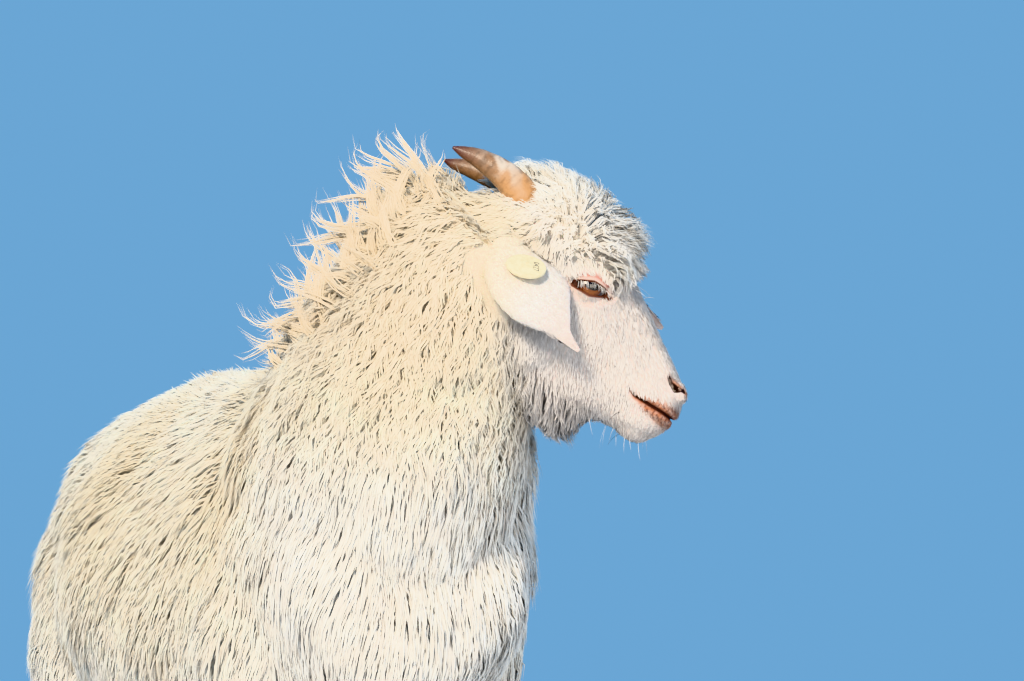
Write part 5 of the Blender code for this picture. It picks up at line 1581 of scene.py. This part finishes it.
def make_tag(ear, material, ink):
    """The ear tag: a dished button outside the ear, a stem through it, a stud inside, and its numbers."""
    profile = [
        (0.0008, 0.0030),
        (0.0016, 0.0036),
        (0.0026, 0.0038),
        (0.0034, 0.0035),
        (0.0042, 0.0031),
        (0.0128, 0.0029),
        (0.0140, 0.0030),
        (0.0147, 0.0026),
        (TAG_R, 0.0019),
        (TAG_R, 0.0008),
        (0.0147, 0.0002),
        (0.0140, 0.0),
        (TAG_STEM, 0.0),
        (TAG_STEM, -0.0048),
        (0.0056, -0.0050),
        (0.0060, -0.0056),
        (0.0060, -0.0064),
        (0.0054, -0.0070),
        (0.0020, -0.0074),
    ]
    circle = [(math.cos(2 * math.pi * j / 56), math.sin(2 * math.pi * j / 56)) for j in range(56)]
    rings = [[Vector((radius * x, radius * y, height)) for x, y in circle] for radius, height in profile]
    tag = faces_out(mesh_object("tag_button", *skin_rings(rings)))
    tag.data.materials.append(material)
    seat, normal = tag_seat(ear)
    matrix = frame_matrix(normal, HEAD_Z, seat)
    tag.data.transform(matrix)
    curve = bpy.data.curves.new("numbers", "FONT")
    curve.body = "0427"
    curve.size = 0.0062
    curve.extrude = 0.00012
    curve.align_x = "CENTER"
    text = placed("tag_numbers", curve)
    bpy.context.view_layer.update()
    mesh = bpy.data.meshes.new_from_object(text.evaluated_get(bpy.context.evaluated_depsgraph_get()))
    bpy.data.objects.remove(text)
    numbers = placed("tag_numbers", mesh)
    mesh.transform(Matrix.Translation((0, 0.0052, 0.0030)))
    mesh.transform(Matrix.Rotation(-0.75, 4, "Z"))
    mesh.transform(matrix)
    mesh.materials.clear()
    mesh.materials.append(ink)
    return shade_smooth(tag), numbers


def tag_seat(ear):
    """Where the tag's plate meets the right ear, and the outward direction there."""
    aim = HEAD_MATRIX @ Vector((TAG_AT[0], -0.3, TAG_AT[1]))
    hit, normal, _, _ = ear.ray_cast(aim, HEAD_Y)
    tilted = (HEAD_MATRIX.to_3x3() @ Vector(TAG_FACING) + 0.6 * normal).normalized()
    return hit + normal * 0.0020, tilted


def find_shift():
    """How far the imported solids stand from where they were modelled, from the back of the right eyeball."""
    matrix = HEAD_MATRIX @ eye_matrix(-1)
    look = matrix.to_3x3() @ Vector((0, 0, 1))
    back = min((v.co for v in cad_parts["eye_right"].data.vertices), key=lambda p: p.dot(look))
    return back + look * EYE_R - matrix.translation


SHIFT = find_shift()


# The unwraps that the tufts' patches lie on
def round_axis(points, origin, axis, up):
    """The angle round an axis and the distance along it, as a map from 0 to 1 each way."""
    axis = np.array(Vector(axis).normalized())
    up = np.array(up, float)
    up = unit(up - axis * (up @ axis))
    side = np.cross(axis, up)
    local = points - np.array(origin)
    angle = np.arctan2(local @ side, -(local @ up)) / (2 * math.pi) + 0.5
    along = local @ axis
    along = (along - along.min()) / max(np.ptp(along), 1e-6)
    return 0.004 + 0.992 * np.stack([angle, along], axis=1)


def fitted(unwrapped):
    """A map stretched to fill the square."""
    low, high = unwrapped.min(axis=0), unwrapped.max(axis=0)
    return 0.004 + 0.992 * (unwrapped - low) / np.maximum(high - low, 1e-6)


AXES = {
    "torso": ((0, 0, 0.41), (1, 0, 0), (0, 0, 1)),
    "neck": ((0.19, 0, 0.47), (0.146, 0.045, 0.185), (-0.6, 0, 0.5)),
    "head": (tuple(HEAD_MATRIX @ Vector((0, 0, -0.012))), tuple(HEAD_X), tuple(HEAD_Z)),
    "tail": ((-0.30, 0, 0.505), (-1, 0, 0), (0, 0, 1)),
}


def subset(tufts, chosen):
    return {key: value[chosen] for key, value in tufts.items()}


def place_pieces(prefix, tufts, unwrap, tint, tip_tint, material, slot, divisions, fade=1.3):
    """Splits tufts into pieces by a list of (name, mask), each with its own map, and returns them with the
    slot's name.
    """
    made = []
    most = MOST_TUFTS[tufts["path"].shape[1] - 1]
    for name, mask in divisions:
        chosen = np.flatnonzero(mask)
        if len(chosen) == 0:
            continue
        if len(chosen) > most:
            chosen = chosen[np.linspace(0, len(chosen) - 1, most).astype(int)]
        part = subset(tufts, chosen)
        uv = fitted(unwrap(part["root"]))
        piece = tuft_piece(f"{prefix}_{name}", part, uv, tint[chosen], tip_tint[chosen], material, fade)
        made.append((piece, slot))
    return made


def lighter(tint, gain):
    return np.clip(tint * gain, 0, 0.95)


def body_coat(surface, lie, values, on_ear, material, rng):
    """The coat of torso, neck, tail, legs, head and ears in tufts."""
    centres = surface.centres
    solids = solids_tree()
    x, y, z = centres.T
    past = past_nape(centres)
    local = to_head(centres)
    crown = (past > -0.012) & (local[:, 2] > 0.030) & (local[:, 0] < 0.088)
    crown &= (np.abs(local[:, 1]) < 0.045) & ~on_ear
    head = (past > -0.012) & ~crown & ~on_ear
    neck = (past <= -0.012) & (0.75 * x + 0.66 * z > 0.50) & (z > 0.46) & ~on_ear
    tail = (x < -0.300) & (z > 0.45)
    leg = (z < 0.275) & (np.abs(y) > 0.035) & ((x > 0.09) | (x < -0.14))
    torso = ~(head | crown | neck | tail | leg | on_ear)
    made = []

    def add(prefix, tufts, tint, tips, axes, slot, divisions=None, fade=1.3):
        """Adds pieces of tufts, whose tips have their own colours or are lighter by a factor."""
        unwrap = axes if callable(axes) else lambda p: round_axis(p, *AXES[axes])
        divisions = divisions or [("all", np.ones(len(tint), bool))]
        tips = lighter(tint, tips) if isinstance(tips, float) else tips
        made.extend(place_pieces(prefix, tufts, unwrap, tint, tips, material, slot, divisions, fade))

    tufts = grow(surface, lie, values, torso, rng, 2, solids)
    root = tufts["root"]
    parts = [
        (f"{side_name}_{end_name}", (root[:, 1] * side > 0) & (root[:, 0] > low) & (root[:, 0] <= high))
        for side_name, side in (("left", 1), ("right", -1))
        for end_name, low, high in (("fore", 0.10, 1.0), ("middle", -0.08, 0.10), ("hind", -1.0, -0.08))
    ]
    add("coat_torso", tufts, coat_tint(root, rng), 1.10, "torso", "coat", parts)

    tufts = grow(surface, lie, values, neck, rng, 2, solids)
    root = tufts["root"]
    tint = coat_tint(root, rng)
    flecked = (rng.random(len(root)) < 0.020) & (ripple(root, 0.05, 9) > 0.1)
    tint[flecked] = tint[flecked] * 0.55 + np.array(FLECK) * 0.45
    middle = 0.035 * step(root[:, 2], 0.5, 0.65)
    parts = [("left", root[:, 1] > middle), ("right", root[:, 1] <= middle)]
    add("coat_neck", tufts, tint, 1.10, "neck", "coat", parts)

    tufts = mane(surface, nape_share(centres), rng)
    tint = coat_tint(tufts["root"], rng)
    add("coat_mane", tufts, tint, tint * 0.45 + np.array(MANE_TIP) * 0.55, "neck", "coat", fade=6.0)

    tufts = grow(surface, lie, values, crown, rng, 3, solids)
    add("coat_topknot", tufts, coat_tint(tufts["root"], rng), 1.08, "head", "coat")

    tufts = grow(surface, lie, values, head, rng, 2)
    root = tufts["root"]
    found = face_features(to_head(root))
    bare = np.maximum(lip_share(found, to_head(root)), step(found["nostril"], 0.0070, 0.0045))
    share = (0.25 + 0.70 * bare)[:, None]
    tint = coat_tint(root, rng) * (1 - share) + skin_tint(root) * share
    tint *= rng.uniform(0.74, 1.08, (len(root), 1))
    side = to_head(root)[:, 1]
    add("coat_face", tufts, tint, 1.12, "head", "face", [("left", side > 0), ("right", side <= 0)])

    tufts = grow(surface, ear_lie, values, on_ear, rng, 2)
    tint = skin_tint(tufts["root"]) * rng.uniform(0.97, 1.05, (len(tufts["root"]), 1))
    add("coat_ears", tufts, tint, 1.02, "head", "ear")

    tufts = grow(surface, lie, values, tail, rng, 2)
    add("coat_tail", tufts, coat_tint(tufts["root"], rng), 1.08, "tail", "coat")

    tufts = grow(surface, lie, values, leg, rng, 2)
    root = tufts["root"]

    def unwrap_leg(points):
        x, y, z = points.T
        turn = np.arctan2(y - np.sign(y) * FORE_Y, x - np.where(x > 0, FORE_X, HIND_X))
        return np.stack([(turn / (2 * math.pi) + 0.5) * 0.48 + 0.52 * (y > 0), z], axis=1)

    add("coat_leg", tufts, coat_tint(root, rng), 1.06, unwrap_leg, "coat",
        [("fore", root[:, 0] > 0), ("hind", root[:, 0] <= 0)])

    tufts = whiskers(surface, rng)
    add("coat_whiskers", tufts, coat_tint(tufts["root"], rng), 0.9, "head", "face")
    for word, side in (("left", 1), ("right", -1)):
        tufts = lashes(side, rng)
        tint = np.repeat(np.array((LASH,)), len(tufts["root"]), axis=0)
        add(f"lashes_{word}", tufts, tint, 1.25, "head", "face")
    return made


def main():
    coat = tinted_material("coat_hair", 0.10, 260.0, Roughness=0.62, Specular_IOR_Level=0.30,
                           Sheen_Weight=0.15, Subsurface_Weight=0.12,
                           Subsurface_Radius=(1.0, 0.85, 0.70), Subsurface_Scale=0.004)
    skin_look = tinted_material("skin", 0.12, 420.0, bump=(900.0, 0.5, 0.0008), Roughness=0.65,
                                Specular_IOR_Level=0.30, Subsurface_Weight=0.08, Subsurface_Scale=0.004)
    horn_look = tinted_material("horn", 0.22, 500.0, bump=(700.0, 0.45, 0.0006), Roughness=0.42)
    hoof_look = tinted_material("hoof", 0.22, 400.0, bump=(600.0, 0.4, 0.0005), Roughness=0.50)
    eye_look = eye_material()
    tag_look, tree, shader = new_material("tag_plastic", Roughness=0.38, Base_Color=TAG_PLAIN)
    ramp = add_node(tree, "ShaderNodeValToRGB", {}, Fac=noise_node(tree, 320.0, 5.0))
    for element, where, colour in zip(ramp.color_ramp.elements, (0.30, 0.62), (TAG_SCUFFED, TAG_YELLOW)):
        element.position = where
        element.color = colour
    tree.links.new(ramp.outputs["Color"], shader.inputs["Base Color"])
    ink, _, _ = new_material("tag_ink", Roughness=0.6, Base_Color=INK)

    rng = np.random.default_rng(SEED)
    ears = [make_ear("ear_r", EAR_RIGHT, -1), make_ear("ear_l", EAR_LEFT, 1)]
    skin = make_skin(ears)
    surface = Surface(skin)
    on_ear = is_ear(surface.centres)
    values = coat_at(surface.centres)
    guides = lie_guides()
    pieces = body_coat(surface, lambda p, n: lie_at(guides, p, n), values, on_ear, coat, rng)
    paint(skin, skin_tint(surface.points))
    skin.data.materials.append(skin_look)
    shade_smooth(skin)
    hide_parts("torso", "neck", "head", "tail", "ear_left", "ear_right",
                *[f"leg_{end}_{word}" for end in ("fore", "hind") for word in ("left", "right")])
    pieces.append((skin, "coat"))
    for word, side in (("left", 1), ("right", -1)):
        eye = make_eye(f"eyeball_{word}", side, eye_look)
        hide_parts(f"eye_{word}")
        pieces.append((eye, "eye"))
        horn = make_horn(f"horn_sheath_{word}", side, horn_look)
        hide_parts(f"horn_{word}")
        pieces.append((horn, "horn"))
        feet = (("fore", FORE_X + FORE_LEG[-1][0], FORE_Y), ("hind", HIND_X + HIND_LEG[-1][0], HIND_Y))
        for end, x, y in feet:
            for which, lean in (("outer", side), ("inner", -side)):
                claw = make_claw(f"hoof_{end}_{word}_{which}", x, side * y, lean, hoof_look)
                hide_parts(f"claw_{end}_{word}_{which}")
                pieces.append((claw, "hoof"))
    tag, numbers = make_tag(surface.tree, tag_look, ink)
    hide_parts("ear_tag")
    pieces += [(tag, "tag"), (numbers, "tag")]
    for piece, slot in pieces:
        piece.data.transform(Matrix.Translation(SHIFT))
        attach(piece, "root")
    stage_and_camera()


def stage_and_camera():
    """A pale floor, soft light from the upper left and the photograph's camera."""
    floor = mesh_object("floor", [(-9, -9, 0), (9, -9, 0), (9, 9, 0), (-9, 9, 0)], [(0, 1, 2, 3)])
    floor.data.materials.append(new_material("floor", Roughness=0.9, Base_Color=FLOOR)[0])
    scene = bpy.context.scene
    world = bpy.data.worlds.new("world")
    world.use_nodes = True
    world.node_tree.nodes["Background"].inputs["Color"].default_value = SKY
    world.node_tree.nodes["Background"].inputs["Strength"].default_value = SKY_STRENGTH
    scene.world = world
    scene.view_settings.view_transform = "Khronos PBR Neutral"
    scene.view_settings.exposure = EXPOSURE
    target = CAMERA_AIM + SHIFT + Vector((0.12, 0, 0.15))
    for name, way, far, size, power, colour in LIGHTS:
        data = bpy.data.lights.new(name, "AREA")
        data.size = size
        data.energy = power
        data.color = colour
        lamp = placed(name, data)
        lamp.location = target + way.normalized() * far
        lamp.rotation_euler = (target - lamp.location).to_track_quat("-Z", "Y").to_euler()
    data = bpy.data.cameras.new("camera")
    data.lens = LENS
    data.sensor_width = 36
    camera = placed("camera", data)
    ahead = AWAY * math.cos(CAMERA_TILT) + Vector((0, 0, 1)) * math.sin(CAMERA_TILT)
    camera.location = CAMERA_AIM + SHIFT - AWAY * CAMERA_BACK
    camera.rotation_euler = ahead.to_track_quat("-Z", "Y").to_euler()
    scene.camera = camera


main()
